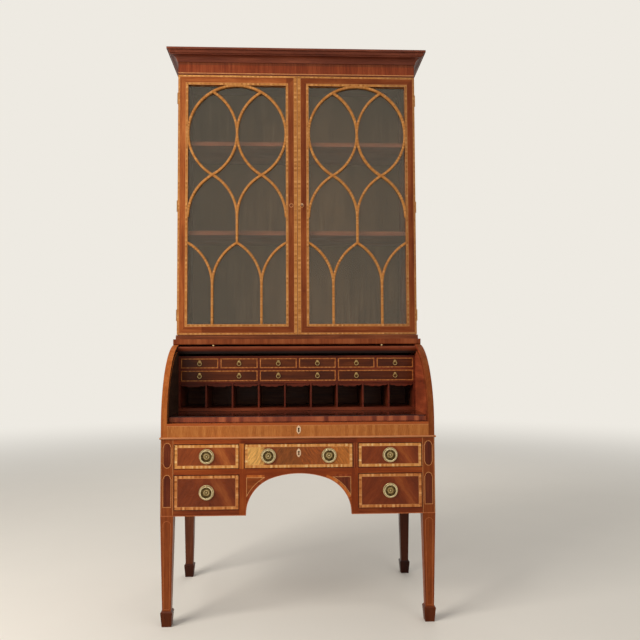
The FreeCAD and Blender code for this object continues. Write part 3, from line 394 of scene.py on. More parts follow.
def bumpFrom(tree, height, shader, strength, distance):
    made = tree.nodes.new("ShaderNodeBump")
    fill(tree, made, {"Strength": strength, "Distance": distance, "Height": height})
    tree.links.new(made.outputs[0], shader.inputs["Normal"])


def mixedSurface(tree, share, first, second, out):
    # second shader in place of the first where the share is 1
    made = tree.nodes.new("ShaderNodeMixShader")
    tree.links.new(share, made.inputs[0])
    tree.links.new(first.outputs[0], made.inputs[1])
    tree.links.new(second.outputs[0], made.inputs[2])
    tree.links.new(made.outputs[0], out.inputs[0])


brassLabels = ("Bright", "Mid", "Deep")


def linearTones(tones, labels=("Dark", "Mid", "Light")):
    # the three colours of a finish, under the names of the sockets that take them
    return {label: tint(*tones[label.lower()]) for label in labels}


def finishWood(tree, shader, colour, height, place, wood):
    mellowed = placeGroup(tree, mellowing, Vector=place, Color=colour, Amount=wood.get("mellow", 0.25))
    low, high = wood.get("rough", (0.3, 0.48))
    rough = placeGroup(tree, waxPolish, Vector=place, Low=low, High=high)["Roughness"]
    fill(tree, shader, {"Base Color": mellowed["Color"], "Roughness": rough, "Coat Roughness": 0.14,
                        "Specular IOR Level": wood.get("specular", 0.16),
                        "Coat Weight": wood.get("coat", 0.04)})
    bumpFrom(tree, height, shader, wood.get("bump", 0.35), 0.00025)


def grainOf(tree, vector, wood):
    return placeGroup(tree, timberGrain, Vector=vector, Offset=wood.get("offset", 0.0),
                      Fibre=wood.get("fibre", 0.5), Figure=wood.get("figure", 0.5),
                      Ribbon=wood.get("ribbon", 0.3), Pores=wood.get("pores", 0.4), **linearTones(wood))


def timber(name, wood, choose, shade=None):
    # choose picks the grain's direction from the three turned coordinates, the place or the normal
    material, tree, shader, place = newMaterial(name)
    turned = placeGroup(tree, grainTurn, Vector=place)
    grain = grainOf(tree, choose(tree, turned, place), wood)
    colour = shade(tree, grain["Color"], place) if shade else grain["Color"]
    finishWood(tree, shader, colour, grain["Height"], place, wood)
    return material


def paintedLightOuterStile(tree, colour, place):
    # painted light: the left door's outer stile and top rail are paler than the rest of the doors
    pale = {"left": -418 * mm, "top": 2236 * mm, "middle": -48 * mm, "shade": (1.62, 1.95, 2.1, 1)}
    x, y, z = split(tree, place)
    stile = less(tree, x, pale["left"])
    rail = times(tree, greater(tree, z, pale["top"]), less(tree, x, pale["middle"]))
    paler = calc(tree, "MAXIMUM", stile, rail)
    return shadedBy(tree, paler, colour, pale["shade"])


def paintedShadeFoot(tree, colour, place):
    # painted shade: the lead rail is darkened all over, deepening to nearly black at its foot
    foot = {"start": 5 * mm, "end": 21.5 * mm, "black": (0.03, 0.04, 0.05, 1),
            "railShade": (0.52, 0.44, 0.41, 1)}
    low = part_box("tambour_lead_rail")[0].z
    height = fade(tree, split(tree, place)[2], low + foot["start"], low + foot["end"])
    return shadedBy(tree, 1.0, colour, blendColours(tree, height, foot["black"], foot["railShade"]))


def paintedShadeUnderCornice(tree, colour, place):
    # painted shade: the frieze is darker close under the cornice
    head = {"overDoor": 57 * mm, "start": 13 * mm, "end": 9 * mm, "shade": (0.66, 0.8, 0.9, 1)}
    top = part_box("left_door_frame")[1].z + head["overDoor"]
    near = fade(tree, split(tree, place)[2], top - head["start"], top - head["end"])
    return shadedBy(tree, near, colour, head["shade"])


def paintedLightBands(tree, colour, place):
    # painted shade darkens the bands on the right door's outer stile, and painted light makes the one along
    # the left door's head paler
    right = {"edge": 380 * mm, "shade": (0.72, 0.74, 0.8, 1)}
    head = {"level": 2262 * mm, "middle": -18 * mm, "shade": (1.22, 1.32, 1.4, 1)}
    x, y, z = split(tree, place)
    colour = shadedBy(tree, greater(tree, x, right["edge"]), colour, right["shade"])
    upper = times(tree, greater(tree, z, head["level"]), less(tree, x, head["middle"]))
    return shadedBy(tree, upper, colour, head["shade"])


def grainAlong(axis):
    return lambda tree, turned, place: turned["Along" + axis]


# Half widths in metres at which the grain turns a corner, or changes from boards to uprights
grainCorners = {"apron": 0.206, "bead": 0.5351, "plinth": 0.5285, "cornice": 0.5255, "carcass": 0.505}


def grainTurns(piece, axis):
    # grain along X up to a distance from the middle, along another axis beyond it
    def choose(tree, turned, place):
        beyond = greater(tree, absolute(tree, split(tree, place)[0]), grainCorners[piece])
        return blendVectors(tree, beyond, turned["AlongX"], turned["Along" + axis])
    return choose


def bySideNormal(tree, turned, place):
    # boards on edge run front to back, flat boards run from side to side
    x, y, z = split(tree, objectNormal(tree))
    side = greater(tree, absolute(tree, x), 0.6)
    return blendVectors(tree, side, turned["AlongX"], turned["AlongY"])


def wood(dark, mid, light, figure, ribbon, offset, **more):
    # the offset moves the grain, so that no two woods show the same place of it
    return dict(more, dark=dark, mid=mid, light=light, figure=figure, ribbon=ribbon, offset=offset)


# Colours of the woods as they look, and how strongly figure and ribbon show in each
woods = {
    "legWood": wood((91, 38, 11), (135, 64, 25), (168, 94, 45), 0.35, 0.45, 1.3),
    # the rear legs are darker with painted shade, the right one darkest
    "rearLegWood": wood((61, 29, 18), (98, 52, 32), (130, 76, 52), 0.35, 0.45, 1.9),
    "darkRearLegWood": wood((40, 14, 6), (68, 27, 10), (94, 42, 20), 0.35, 0.45, 25.3),
    # cockbead: darker than the rails, partly painted shade for the gap round the large drawers
    "cockbeadWood": wood((58, 22, 10), (92, 38, 17), (124, 58, 30), 0.3, 0.3, 21.1),
    "trimWood": wood((93, 33, 12), (137, 59, 21), (178, 95, 40), 0.5, 0.4, 2.1),
    "sideWood": wood((78, 26, 10), (120, 48, 20), (156, 74, 34), 0.7, 0.3, 3.7),
    "endWood": wood((60, 24, 14), (98, 44, 24), (134, 68, 38), 0.7, 0.3, 4.9),
    "corniceWood": wood((75, 34, 25), (117, 60, 42), (162, 93, 67), 0.4, 0.4, 5.3),
    "friezeWood": wood((91, 35, 17), (133, 59, 30), (170, 89, 50), 0.25, 0.5, 6.1, fibre=0.7),
    "doorWood": wood((85, 33, 11), (124, 58, 23), (158, 87, 42), 0.5, 0.5, 7.7),
    "carcassWood": wood((50, 24, 17), (82, 42, 30), (112, 62, 44), 0.5, 0.3, 8.3, rough=(0.4, 0.6),
                        coat=0.0),
    "shelfWood": wood((74, 38, 28), (112, 64, 48), (144, 90, 68), 0.5, 0.3, 9.1, rough=(0.4, 0.6),
                      coat=0.0),
    "waistWood": wood((92, 38, 17), (134, 66, 33), (164, 94, 53), 0.6, 0.5, 10.9),
    "plinthWood": wood((67, 33, 21), (111, 57, 32), (150, 86, 52), 0.5, 0.4, 11.3),
    "pigeonWood": wood((48, 17, 10), (96, 37, 21), (140, 64, 38), 0.4, 0.3, 12.7, rough=(0.34, 0.5)),
    # writing slide: nearly black, a painted reflection of the dark pigeonholes in its glossy top
    "slideWood": wood((30, 10, 7), (52, 18, 10), (78, 32, 21), 0.6, 0.4, 13.9, rough=(0.1, 0.2), coat=0.3),
    "railWood": wood((101, 38, 17), (150, 67, 34), (185, 102, 61), 0.4, 0.5, 14.1),
    # nosing: paler than the shaded rail face, a painted highlight
    "nosingWood": wood((96, 45, 27), (124, 60, 36), (150, 84, 54), 0.4, 0.5, 14.1),
    # bead moulding: pale, a painted highlight along its rounded face
    "beadWood": wood((156, 92, 54), (194, 128, 84), (222, 166, 124), 0.3, 0.3, 22.3),
    "goldenEdgeWood": wood((128, 62, 26), (170, 94, 44), (200, 128, 70), 0.4, 0.4, 23.7),
    "slatWood": wood((70, 26, 14), (108, 44, 24), (142, 68, 38), 0.5, 0.4, 15.7),
    # dark boards of the deck, the back and its tongues
    "darkBoardWood": wood((58, 40, 28), (86, 64, 46), (112, 88, 66), 0.5, 0.5, 16.3, pores=0.6, rough=(0.6,
                         0.8), specular=0.2, coat=0.0, bump=0.6),
    "trayWood": wood((122, 88, 54), (160, 122, 80), (192, 156, 110), 0.5, 0.5, 17.9, pores=0.5,
                     rough=(0.55, 0.75), specular=0.25, coat=0.0, bump=0.5),
    "smallFrontWood": wood((48, 16, 5), (80, 34, 12), (109, 54, 23), 0.8, 0.4, 18.1),
    "postPanelWood": wood((62, 21, 11), (98, 41, 21), (132, 65, 36), 0.5, 0.6, 19.9),
}


def frontFrameMaterial():
    # rails along X, the two short stiles beside the centre drawer along Z; painted light makes the left side
    # paler, painted shade darkens the right stile, the bottom rail and the middle of the top rail
    tones = {"leftStile": (1.65, 2.4, 2.4, 1), "rightStile": (0.72, 0.68, 0.75, 1),
             "bottom": (0.71, 0.68, 0.83, 1), "leftTop": (1.3, 1.5, 1.65, 1),
             "middleTop": (0.64, 0.6, 0.75, 1), "inside": 14 * mm, "outside": 6 * mm}
    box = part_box("centre_drawer")
    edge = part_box("upper_right_drawer")[0].x
    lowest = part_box("lower_left_drawer")[0].z
    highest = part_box("upper_left_drawer")[1].z

    def onStile(tree, place):
        x, y, z = split(tree, place)
        across = absolute(tree, x)
        wide = times(tree, greater(tree, across, box[1].x), less(tree, across, edge))
        high = times(tree, greater(tree, z, box[0].z), less(tree, z, box[1].z + mm))
        return times(tree, wide, high)

    def choose(tree, turned, place):
        return blendVectors(tree, onStile(tree, place), turned["AlongX"], turned["AlongZ"])

    # painted light and painted shade, by where each part of the frame stands
    def shade(tree, colour, place):
        x, y, z = split(tree, place)
        left = less(tree, x, 0.0)
        stile = blendColours(tree, left, tones["rightStile"], tones["leftStile"])
        colour = shadedBy(tree, onStile(tree, place), colour, stile)
        colour = shadedBy(tree, less(tree, z, lowest), colour, tones["bottom"])
        outward = fade(tree, absolute(tree, x), edge - tones["inside"], edge + tones["outside"])
        outer = blendColours(tree, left, (1, 1, 1, 1), tones["leftTop"])
        above = blendColours(tree, outward, tones["middleTop"], outer)
        return shadedBy(tree, greater(tree, z, highest), colour, above)
    return timber("frontRailMahogany", woods["trimWood"], choose, shade)


def doorMaterial(door):
    # crossbanded frame, mitred at the corners: the grain points away from the nearest edge of the glass
    low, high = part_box(door + "_door_frame")
    middle = (low.x + high.x) / 2
    centre = (low.z + high.z) / 2
    half = (high.x - low.x) / 2
    tall = (high.z - low.z) / 2

    def choose(tree, turned, place):
        x, y, z = split(tree, place)
        fromSide = minus(tree, half, absolute(tree, minus(tree, x, middle)))
        fromEnd = minus(tree, tall, absolute(tree, minus(tree, z, centre)))
        rail = less(tree, fromEnd, fromSide)
        return blendVectors(tree, rail, turned["AlongZ"], turned["AlongX"])
    return timber(door + "DoorMahogany", woods["doorWood"], choose, paintedLightOuterStile)


def legMaterial(name, wood):
    # grain runs up the leg, and the spade foot at its bottom is darker
    foot = {"height": 60 * mm, "soften": 1 * mm, "shade": (0.42, 0.36, 0.36, 1)}
    material, tree, shader, place = newMaterial(name)
    grain = grainOf(tree, placeGroup(tree, grainTurn, Vector=place)["AlongZ"], wood)
    # uneven edge of the darker foot
    footEdgeWobble = centred(tree, noise(tree, place, 90, 3, 0.6), 0.008)
    height = plus(tree, split(tree, place)[2], footEdgeWobble)
    low = fade(tree, height, foot["height"] + foot["soften"], foot["height"] - foot["soften"])
    colour = shadedBy(tree, low, grain["Color"], foot["shade"])
    finishWood(tree, shader, colour, grain["Height"], place, wood)
    return material


def pigeonholeMaterial():
    # polished front edges; painted light makes the wood deep in the pigeonholes lighter and browner, and the
    # floor board paler
    depth = {"start": 30 * mm, "end": 150 * mm, "shade": (1.2, 2.3, 2.2, 1)}
    floor = {"thick": 12.5 * mm, "shade": (1.35, 1.65, 1.6, 1)}
    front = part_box("pigeonhole_case")[0]

    def shade(tree, colour, place):
        x, y, z = split(tree, place)
        inward = fade(tree, y, front.y + depth["start"], front.y + depth["end"])
        colour = shadedBy(tree, inward, colour, depth["shade"])
        onFloor = less(tree, z, front.z + floor["thick"])
        return shadedBy(tree, onFloor, colour, floor["shade"])
    return timber("pigeonholeMahogany", woods["pigeonWood"], bySideNormal, shade)


def cylinderEndMaterial():
    # boards that match the case outside and differ inside, with a golden veneer on their curved front edge;
    # the inner faces carry painted shade on the left end and painted light on the right, and the right end's
    # edge is darkened with painted shade
    tones = {"leftInside": (0.3, 0.72, 1.3, 1), "rightInside": (2.4, 2.3, 2.5, 1),
             "rightEdge": (0.55, 0.5, 0.6, 1)}
    finish = {"rough": (0.5, 0.62), "specular": 0.05, "coat": 0.0}
    material, tree, shader, place = newMaterial("cylinderEndMahogany")
    turned = placeGroup(tree, grainTurn, Vector=place)
    inside = grainOf(tree, turned["AlongY"], woods["endWood"])
    outside = grainOf(tree, turned["AlongY"], woods["sideWood"])
    edge = grainOf(tree, turned["AlongZ"], woods["goldenEdgeWood"])
    x = split(tree, place)[0]
    facing = split(tree, objectNormal(tree))
    right = greater(tree, x, 0.0)
    redder = shadedBy(tree, right, edge["Color"], tones["rightEdge"])
    # painted shade on the left inner face, painted light on the right one
    tone = blendColours(tree, right, tones["leftInside"], tones["rightInside"])
    inner = shadedBy(tree, 1.0, inside["Color"], tone)
    inward = less(tree, times(tree, x, facing[0]), 0.0)
    colour = blendColours(tree, inward, outside["Color"], inner)
    narrow = times(tree, fade(tree, absolute(tree, facing[0]), 0.7, 0.4), less(tree, facing[1], 0.6))
    colour = blendColours(tree, narrow, colour, redder)
    finishWood(tree, shader, colour, inside["Height"], place, finish)
    return material


def lockRailMaterial():
    # golden veneer with upright bars, an orange strip along its top edge, and the brass lock case behind
    rail = {"dark": (132, 70, 28), "mid": (177, 105, 49), "light": (208, 142, 78), "strip": (168, 86, 40),
            "stripHeight": 10 * mm, "stripEdge": 0.4 * mm, "barWidth": 15 * mm,
            "veneer": (2 * mm, 3 * mm), "lockCase": (34.6 * mm, 34.8 * mm), "brass": (190, 156, 88)}
    material, tree, shader, place = newMaterial("goldenLockRail")
    x, y, z = split(tree, place)
    run = joined(tree, x, z, 0.0)
    bars = placeGroup(tree, crossband, Vector=run, Pitch=rail["barWidth"], Blocks=0.22, Fibre=0.9,
                      **linearTones(rail))
    low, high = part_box("lock_rail")
    foot = high.z - rail["stripHeight"]
    strip = fade(tree, z, foot - rail["stripEdge"], foot)
    colour = blendColours(tree, strip, bars["Color"], tint(*rail["strip"]))
    turned = placeGroup(tree, grainTurn, Vector=place)
    wood = grainOf(tree, turned["AlongX"], woods["trimWood"])
    behind = fade(tree, y, *[low.y + depth for depth in rail["veneer"]])
    colour = blendColours(tree, behind, colour, wood["Color"])
    brass = fade(tree, y, *[low.y + depth for depth in rail["lockCase"]])
    colour = blendColours(tree, brass, colour, tint(*rail["brass"]))
    finishWood(tree, shader, colour, bars["Height"], place, {"rough": (0.26, 0.42), "coat": 0.08})
    feed(tree, brass, shader.inputs["Metallic"])
    return material


# Crotch figure: half width of its seam, its lean, and the pale plume with its strength on either side
crotch = {"seam": 0.012, "rounding": 0.0001, "steep": 0.87, "flat": 0.5, "wander": 0.02, "base": 0.36,
          "plumeAt": 0.052, "plumeHalf": 0.03, "leftPlume": 0.08, "rightMore": 0.26, "feather": 0.6,
          "streaks": 0.75, "patchEdge": 0.05, "patchDeep": 0.72, "patchPale": 1.2}


def flameMaterial(name, flame):
    # a light plume leaning to the right over darker wood, with fine feather marks
    material, tree, shader, place = newMaterial(name)
    x, y, z = split(tree, place)
    low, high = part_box(flame["node"])
    middle = (low.x + high.x) / 2
    level = (low.z + high.z) / 2
    fromMiddle = minus(tree, x, middle)
    right = fade(tree, fromMiddle, -crotch["seam"], crotch["seam"])
    outward = calc(tree, "SQRT", plus(tree, times(tree, fromMiddle, fromMiddle), crotch["rounding"]))
    up = minus(tree, z, level)
    wander = noise(tree, place, 16, 3, 0.6, 0.6)
    lean = plus(tree, times(tree, outward, crotch["steep"]), times(tree, up, crotch["flat"]))
    lean = plus(tree, lean, centred(tree, wander, crotch["wander"]))
    side = minus(tree, times(tree, outward, crotch["flat"]), times(tree, up, crotch["steep"]))
    seed = plus(tree, times(tree, right, 2.3), middle * 9)
    feather = noise(tree, joined(tree, times(tree, side, 0.14), seed, lean), 210, 4, 0.6, 0.4)
    streaks = noise(tree, joined(tree, times(tree, side, 0.2), seed, lean), 48, 3, 0.55, 0.6)
    away = absolute(tree, minus(tree, lean, crotch["plumeAt"]))
    strength = timesPlus(tree, right, crotch["rightMore"], crotch["leftPlume"])
    plume = times(tree, fade(tree, away, crotch["plumeHalf"], 0.0), strength)
    tone = plus(tree, crotch["base"], plume)
    tone = plus(tree, tone, centred(tree, feather, crotch["feather"]))
    tone = plus(tree, tone, centred(tree, streaks, crotch["streaks"]), True)
    colour = threeColours(tree, tone, *linearTones(flame).values())
    for start, end, tone255, amount in flame.get("patches", []):
        edge = plus(tree, x, centred(tree, streaks, crotch["patchEdge"]))
        share = times(tree, fade(tree, edge, start, end), amount)
        deeper = tint(*[value * crotch["patchDeep"] for value in tone255])
        paler = tint(*[min(255, value * crotch["patchPale"]) for value in tone255])
        spread = plus(tree, 0.5, centred(tree, feather, 2.2), True)
        grained = threeColours(tree, spread, deeper, tint(*tone255), paler)
        colour = blendColours(tree, share, colour, grained)
    colour = shadedBy(tree, 1.0, colour, flame["shade"] + (1,))
    height = plus(tree, feather, streaks)
    finishWood(tree, shader, colour, height, place, {"rough": (0.24, 0.4), "coat": 0.1, "mellow": 0.15})
    return material


def crossbandMaterial(name, band, shade=None):
    material, tree, shader, place = newMaterial(name)
    finish = {"rough": (0.26, 0.42), "coat": 0.08, "mellow": 0.15}
    made = placeGroup(tree, crossband, Vector=runPlace(tree), Pitch=band["pitch"], Blocks=band["blocks"],
                      Fibre=band["fibre"], **linearTones(band))
    colour = shade(tree, made["Color"], place) if shade else made["Color"]
    finishWood(tree, shader, colour, made["Height"], place, finish)
    return material


def stringingMaterial(name, tone):
    # thin line of pale wood, its colour drifting a little along it
    material, tree, shader, place = newMaterial(name)
    along, across, spare = split(tree, runPlace(tree))
    drift = noise(tree, joined(tree, along, 0.0, 0.0), 22, 3, 0.6)
    fine = noise(tree, joined(tree, times(tree, along, 0.06), across, 0.4), 1900, 2)
    share = plus(tree, centred(tree, drift, 1.2), fine, True)
    colour = threeColours(tree, share, *linearTones(tone).values())
    finishWood(tree, shader, colour, fine, place, {"rough": (0.3, 0.44), "mellow": 0.1})
    return material


# Brass of the small drawers' fittings; the flat plates under the roses are darkened nearly black
fittings = {"bright": (232, 206, 140), "mid": (190, 156, 88), "deep": (96, 72, 34), "tarnish": 0.35,
            "edge": 0.1 * mm, "plateFrom": 1.3 * mm, "plateTo": 1.15 * mm,
            "plateShade": (0.25, 0.16, 0.1, 1)}


def drawerBodyMaterial(name, frontDepth, front, brassAhead):
    # show wood on the front, paler drawer sides behind it, and brass where the fittings stand out
    material, tree, shader, place = newMaterial(name)
    y = split(tree, place)[1]
    turned = placeGroup(tree, grainTurn, Vector=place)
    show = grainOf(tree, turned["AlongX"], front)
    side = grainOf(tree, bySideNormal(tree, turned, place), woods["trayWood"])
    behind = fade(tree, y, frontDepth, frontDepth + 0.2 * mm)
    colour = blendColours(tree, behind, show["Color"], side["Color"])
    finishWood(tree, shader, colour, show["Height"], place, {"rough": (0.3, 0.5), "coat": 0.08})
    if brassAhead is not None:
        metal = fade(tree, y, brassAhead, brassAhead - fittings["edge"])
        patina = placeGroup(tree, brassPatina, Vector=place, Tarnish=fittings["tarnish"],
                            **linearTones(fittings, brassLabels))
        plate = fade(tree, y, brassAhead - fittings["plateFrom"], brassAhead - fittings["plateTo"])
        brass = shadedBy(tree, plate, patina["Color"], fittings["plateShade"])
        wood = shader.inputs["Base Color"].links[0].from_socket
        feed(tree, blendColours(tree, metal, wood, brass), shader.inputs["Base Color"])
        feed(tree, metal, shader.inputs["Metallic"])
    return material


def brassMaterial(metal):
    material, tree, shader, place = newMaterial(metal["name"])
    deep = 0.0
    if "hollow" in metal:
        # the run coordinate of a turned plate holds how far its metal lies below the rim
        across = split(tree, runPlace(tree))[1]
        deep = times(tree, fade(tree, across, 0.0, 1.0), metal["hollow"])
    made = placeGroup(tree, brassPatina, Vector=place, Tarnish=metal["tarnish"], Hollow=deep,
                      **linearTones(metal, brassLabels))
    fill(tree, shader, {"Base Color": made["Color"], "Roughness": made["Roughness"], "Metallic": 1.0})
    bumpFrom(tree, made["Height"], shader, 0.15, 0.0002)
    return material


def boneMaterial():
    bone = {"dark": (196, 152, 110), "mid": (226, 192, 156), "light": (240, 216, 186),
            "bleed": (0.002, 0.001, 0.0006)}
    material, tree, shader, place = newMaterial("agedBone")
    grain = noise(tree, scaled(tree, place, (1, 1, 0.12)), 900, 3, 0.6)
    stain = noise(tree, place, 120, 3, 0.6)
    share = plus(tree, centred(tree, grain, 0.8), stain, True)
    colour = threeColours(tree, share, *linearTones(bone).values())
    rough = placeGroup(tree, waxPolish, Vector=place, Low=0.3, High=0.45)["Roughness"]
    fill(tree, shader, {"Base Color": colour, "Roughness": rough, "Subsurface Weight": 0.1,
                        "Subsurface Radius": bone["bleed"], "Subsurface Scale": 1.0})
    bumpFrom(tree, grain, shader, 0.25, 0.0001)
    return material


def glassMaterial():
    # slightly wavy old glass; lamps shine through it, so the shelves behind it are lit
    pane = {"tone": (0.95, 0.9, 0.8, 1), "glossTone": (1.0, 0.92, 0.78, 1), "shadow": (0.92, 0.94, 0.92, 1),
            "index": 1.53, "wave": 0.05, "clearness": 0.993}
    material, tree, shader, place = newMaterial("doorGlass")
    waves = noise(tree, scaled(tree, place, (1, 1, 0.45)), 9, 2, 0.5)
    smears = noise(tree, place, 30, 3, 0.6)
    dull = times(tree, fade(tree, smears, 0.45, 0.8), 0.05)
    fill(tree, shader, {"Base Color": pane["tone"], "Transmission Weight": pane["clearness"],
                        "IOR": pane["index"], "Specular Tint": pane["glossTone"], "Roughness": dull})
    bumpFrom(tree, waves, shader, pane["wave"], 0.004)
    clear = tree.nodes.new("ShaderNodeBsdfTransparent")
    clear.inputs[0].default_value = pane["shadow"]
    paths = tree.nodes.new("ShaderNodeLightPath")
    mixedSurface(tree, paths.outputs["Is Shadow Ray"], shader, clear, outputOf(tree))
    return material


def canvasMaterial():
    # plain linen weave, glued behind the slats and browned with age
    material, tree, shader, place = newMaterial("tambourLinen")
    x, y, z = split(tree, place)
    linen = {"pitch": 1.1 * mm, "dark": (92, 76, 54), "mid": (136, 116, 86), "light": (170, 150, 118)}
    warp = calc(tree, "SINE", times(tree, x, 2 * math.pi / linen["pitch"]))
    weft = calc(tree, "SINE", times(tree, plus(tree, y, z), 2 * math.pi / linen["pitch"]))
    weave = times(tree, plus(tree, times(tree, warp, weft), 1.0), 0.5)
    stains = noise(tree, place, 9, 4, 0.6)
    tone = plus(tree, times(tree, weave, 0.5), centred(tree, stains, 1.2), True)
    fill(tree, shader, {"Base Color": threeColours(tree, tone, *linearTones(linen).values()),
                        "Roughness": plus(tree, 0.75, centred(tree, stains, 0.2))})
    bumpFrom(tree, weave, shader, 0.6, 0.0004)
    return material


satinTones = {"dark": (180, 108, 46), "mid": (217, 150, 82), "light": (244, 202, 138)}
# painted shade: the lower drawers' bands are darker and more orange than the upper ones
deepSatinTones = {"dark": (158, 84, 36), "mid": (197, 124, 66), "light": (230, 170, 108)}
doorSatinTones = {"dark": (146, 86, 34), "mid": (185, 122, 60), "light": (214, 160, 96)}
boxTones = {"dark": (186, 122, 68), "mid": (212, 150, 94), "light": (234, 182, 126)}
kingTones = {"dark": (146, 74, 38), "mid": (180, 102, 60), "light": (206, 130, 84)}
drawerFlame = {"dark": (90, 34, 14), "mid": (138, 60, 28), "light": (182, 98, 50)}

# Crossbandings: colours, width of one piece of veneer, contrast between the pieces and strength of fibres
bands = {
    "satinBar": dict(doorSatinTones, name="satinwoodBars", pitch=6.5 * mm, blocks=0.5, fibre=0.5),
    "doorBand": dict(doorSatinTones, name="satinwoodDoorBand", pitch=10 * mm, blocks=0.5, fibre=0.5),
    "drawerBand": dict(satinTones, name="satinwoodDrawerBand", pitch=8.5 * mm, blocks=0.55, fibre=0.45),
    # the lower drawers' band, in the tones with painted shade
    "lowDrawerBand": dict(deepSatinTones, name="satinwoodLowDrawerBand", pitch=8.5 * mm, blocks=0.7,
                          fibre=0.4),
    "smallBand": {"name": "satinwoodSmallBand", "dark": (138, 72, 32), "mid": (176, 104, 52),
                  "light": (206, 136, 74), "pitch": 9 * mm, "blocks": 0.5, "fibre": 0.5},
    "slideBand": {"name": "slideEdgeBand", "dark": (98, 44, 32), "mid": (146, 74, 48),
                  "light": (180, 104, 68), "pitch": 24 * mm, "blocks": 0.55, "fibre": 0.7},
    "archBand": {"name": "archEdgeBand", "dark": (150, 72, 28), "mid": (190, 102, 44),
                 "light": (214, 132, 64), "pitch": 12 * mm, "blocks": 0.5, "fibre": 0.6},
    "archBandDeep": {"name": "archEdgeBandDeep", "dark": (104, 42, 16), "mid": (136, 58, 24),
                     "light": (164, 82, 40), "pitch": 12 * mm, "blocks": 0.4, "fibre": 0.6},
}

# Metals: colours, how far tarnish has spread, and how much it darkens the hollows of turned plates
metals = {
    # near black: painted shade in the escutcheons' openings
    "keyholeShadeMetal": {"name": "keyholeShadeIron", "bright": (44, 32, 20), "mid": (26, 18, 10), "deep": (14, 9, 5),
             "tarnish": 0.6},
    "brass": {"name": "polishedBrass", "bright": (238, 218, 164), "mid": (206, 178, 114),
              "deep": (112, 88, 46), "tarnish": 0.3},
    "rose": {"name": "smallRoseBrass", "bright": (242, 214, 164), "mid": (184, 148, 98),
             "deep": (62, 44, 24), "tarnish": 0.3, "hollow": 0.5},
    "hinge": {"name": "hingeBrass", "bright": (196, 148, 90), "mid": (132, 92, 54), "deep": (66, 44, 26),
              "tarnish": 0.6},
    "key": {"name": "keyBrass", "bright": (255, 240, 204), "mid": (240, 212, 158), "deep": (180, 140, 90),
            "tarnish": 0.1},
    "pullPlate": {"name": "antiqueBrassPlate", "bright": (226, 206, 156), "mid": (158, 134, 88),
                  "deep": (62, 48, 26), "tarnish": 0.35, "hollow": 0.75},
    "pullRing": {"name": "antiqueBrassRing", "bright": (238, 224, 182), "mid": (168, 146, 100),
                 "deep": (84, 66, 38), "tarnish": 0.5},
}


def makeMaterials():
    made = {
        "leg": legMaterial("legMahogany", woods["legWood"]),
        "rearLeg": legMaterial("rearLegMahogany", woods["rearLegWood"]),
        "rearLegDark": legMaterial("rearLegDarkMahogany", woods["darkRearLegWood"]),
        "frontRails": frontFrameMaterial(),
        "apron": timber("apronMahogany", woods["trimWood"], grainTurns("apron", "Z")),
        "casePanel": timber("caseMahogany", woods["sideWood"], bySideNormal),
        "bead": timber("beadPaintedHighlight", woods["beadWood"], grainTurns("bead", "Y")),
        "cylinderEnd": cylinderEndMaterial(),
        "deck": timber("deckBoards", woods["darkBoardWood"], grainAlong("X")),
        "runner": timber("runnerBoards", woods["trayWood"], grainAlong("Y")),
        "lockRail": lockRailMaterial(),
        "leadRail": timber("leadRailMahogany", woods["railWood"], grainAlong("X"), paintedShadeFoot),
        "nosing": timber("nosingPaintedHighlight", woods["nosingWood"], grainAlong("X")),
        "slat": timber("slatMahogany", woods["slatWood"], grainAlong("X")),
        "slide": timber("slideMahogany", woods["slideWood"], grainAlong("X")),
        "pigeon": pigeonholeMaterial(),
        "waist": timber("waistMahogany", woods["waistWood"], grainAlong("Z")),
        "plinth": timber("plinthMahogany", woods["plinthWood"], grainTurns("plinth", "Y")),
        "cornice": timber("corniceMahogany", woods["corniceWood"], grainTurns("cornice", "Y")),
        "frieze": timber("friezeMahogany", woods["friezeWood"], grainAlong("Z"), paintedShadeUnderCornice),
        "carcass": timber("bookcaseMahogany", woods["carcassWood"], grainTurns("carcass", "Z")),
        "shelf": timber("shelfMahogany", woods["shelfWood"], grainAlong("X")),
        "backBoard": timber("backBoards", woods["darkBoardWood"], grainAlong("Z")),
        "leftDoor": doorMaterial("left"),
        "rightDoor": doorMaterial("right"),
        "postPanel": timber("postPanelMahogany", woods["postPanelWood"], grainAlong("Z")),
        "spandrelPale": timber("spandrelMahogany", dict(woods["legWood"], offset=24.1), grainAlong("X")),
        "string": stringingMaterial("boxwoodString", boxTones),
        "redString": stringingMaterial("kingwoodString", kingTones),
        "glass": glassMaterial(),
        "canvas": canvasMaterial(),
        "bone": boneMaterial(),
        "satin": timber("satinwoodSolid", dict(satinTones, figure=0.3, ribbon=0.4, offset=20.3),
                        grainAlong("Z")),
    }
    for key, metal in metals.items():
        made[key] = brassMaterial(metal)
    for key, band in bands.items():
        made[key] = crossbandMaterial(band["name"], band, paintedLightBands if key == "doorBand" else None)
    return made


finishes = makeMaterials()
print("scene: materials built")


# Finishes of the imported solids

def dress(name, material, roundness=0.0):
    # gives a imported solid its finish, and softens its edges where roundness is set
    solid = nodes[name]
    if not solid.material_slots:
        solid.data.materials.append(material)
    for slot in solid.material_slots:
        slot.material = material
    if roundness:
        soft = solid.modifiers.new("softEdges", "BEVEL")
        soft.width = roundness
        soft.segments = 2
        soft.limit_method = "ANGLE"
        soft.angle_limit = math.radians(40)
        soft.harden_normals = False
    return solid


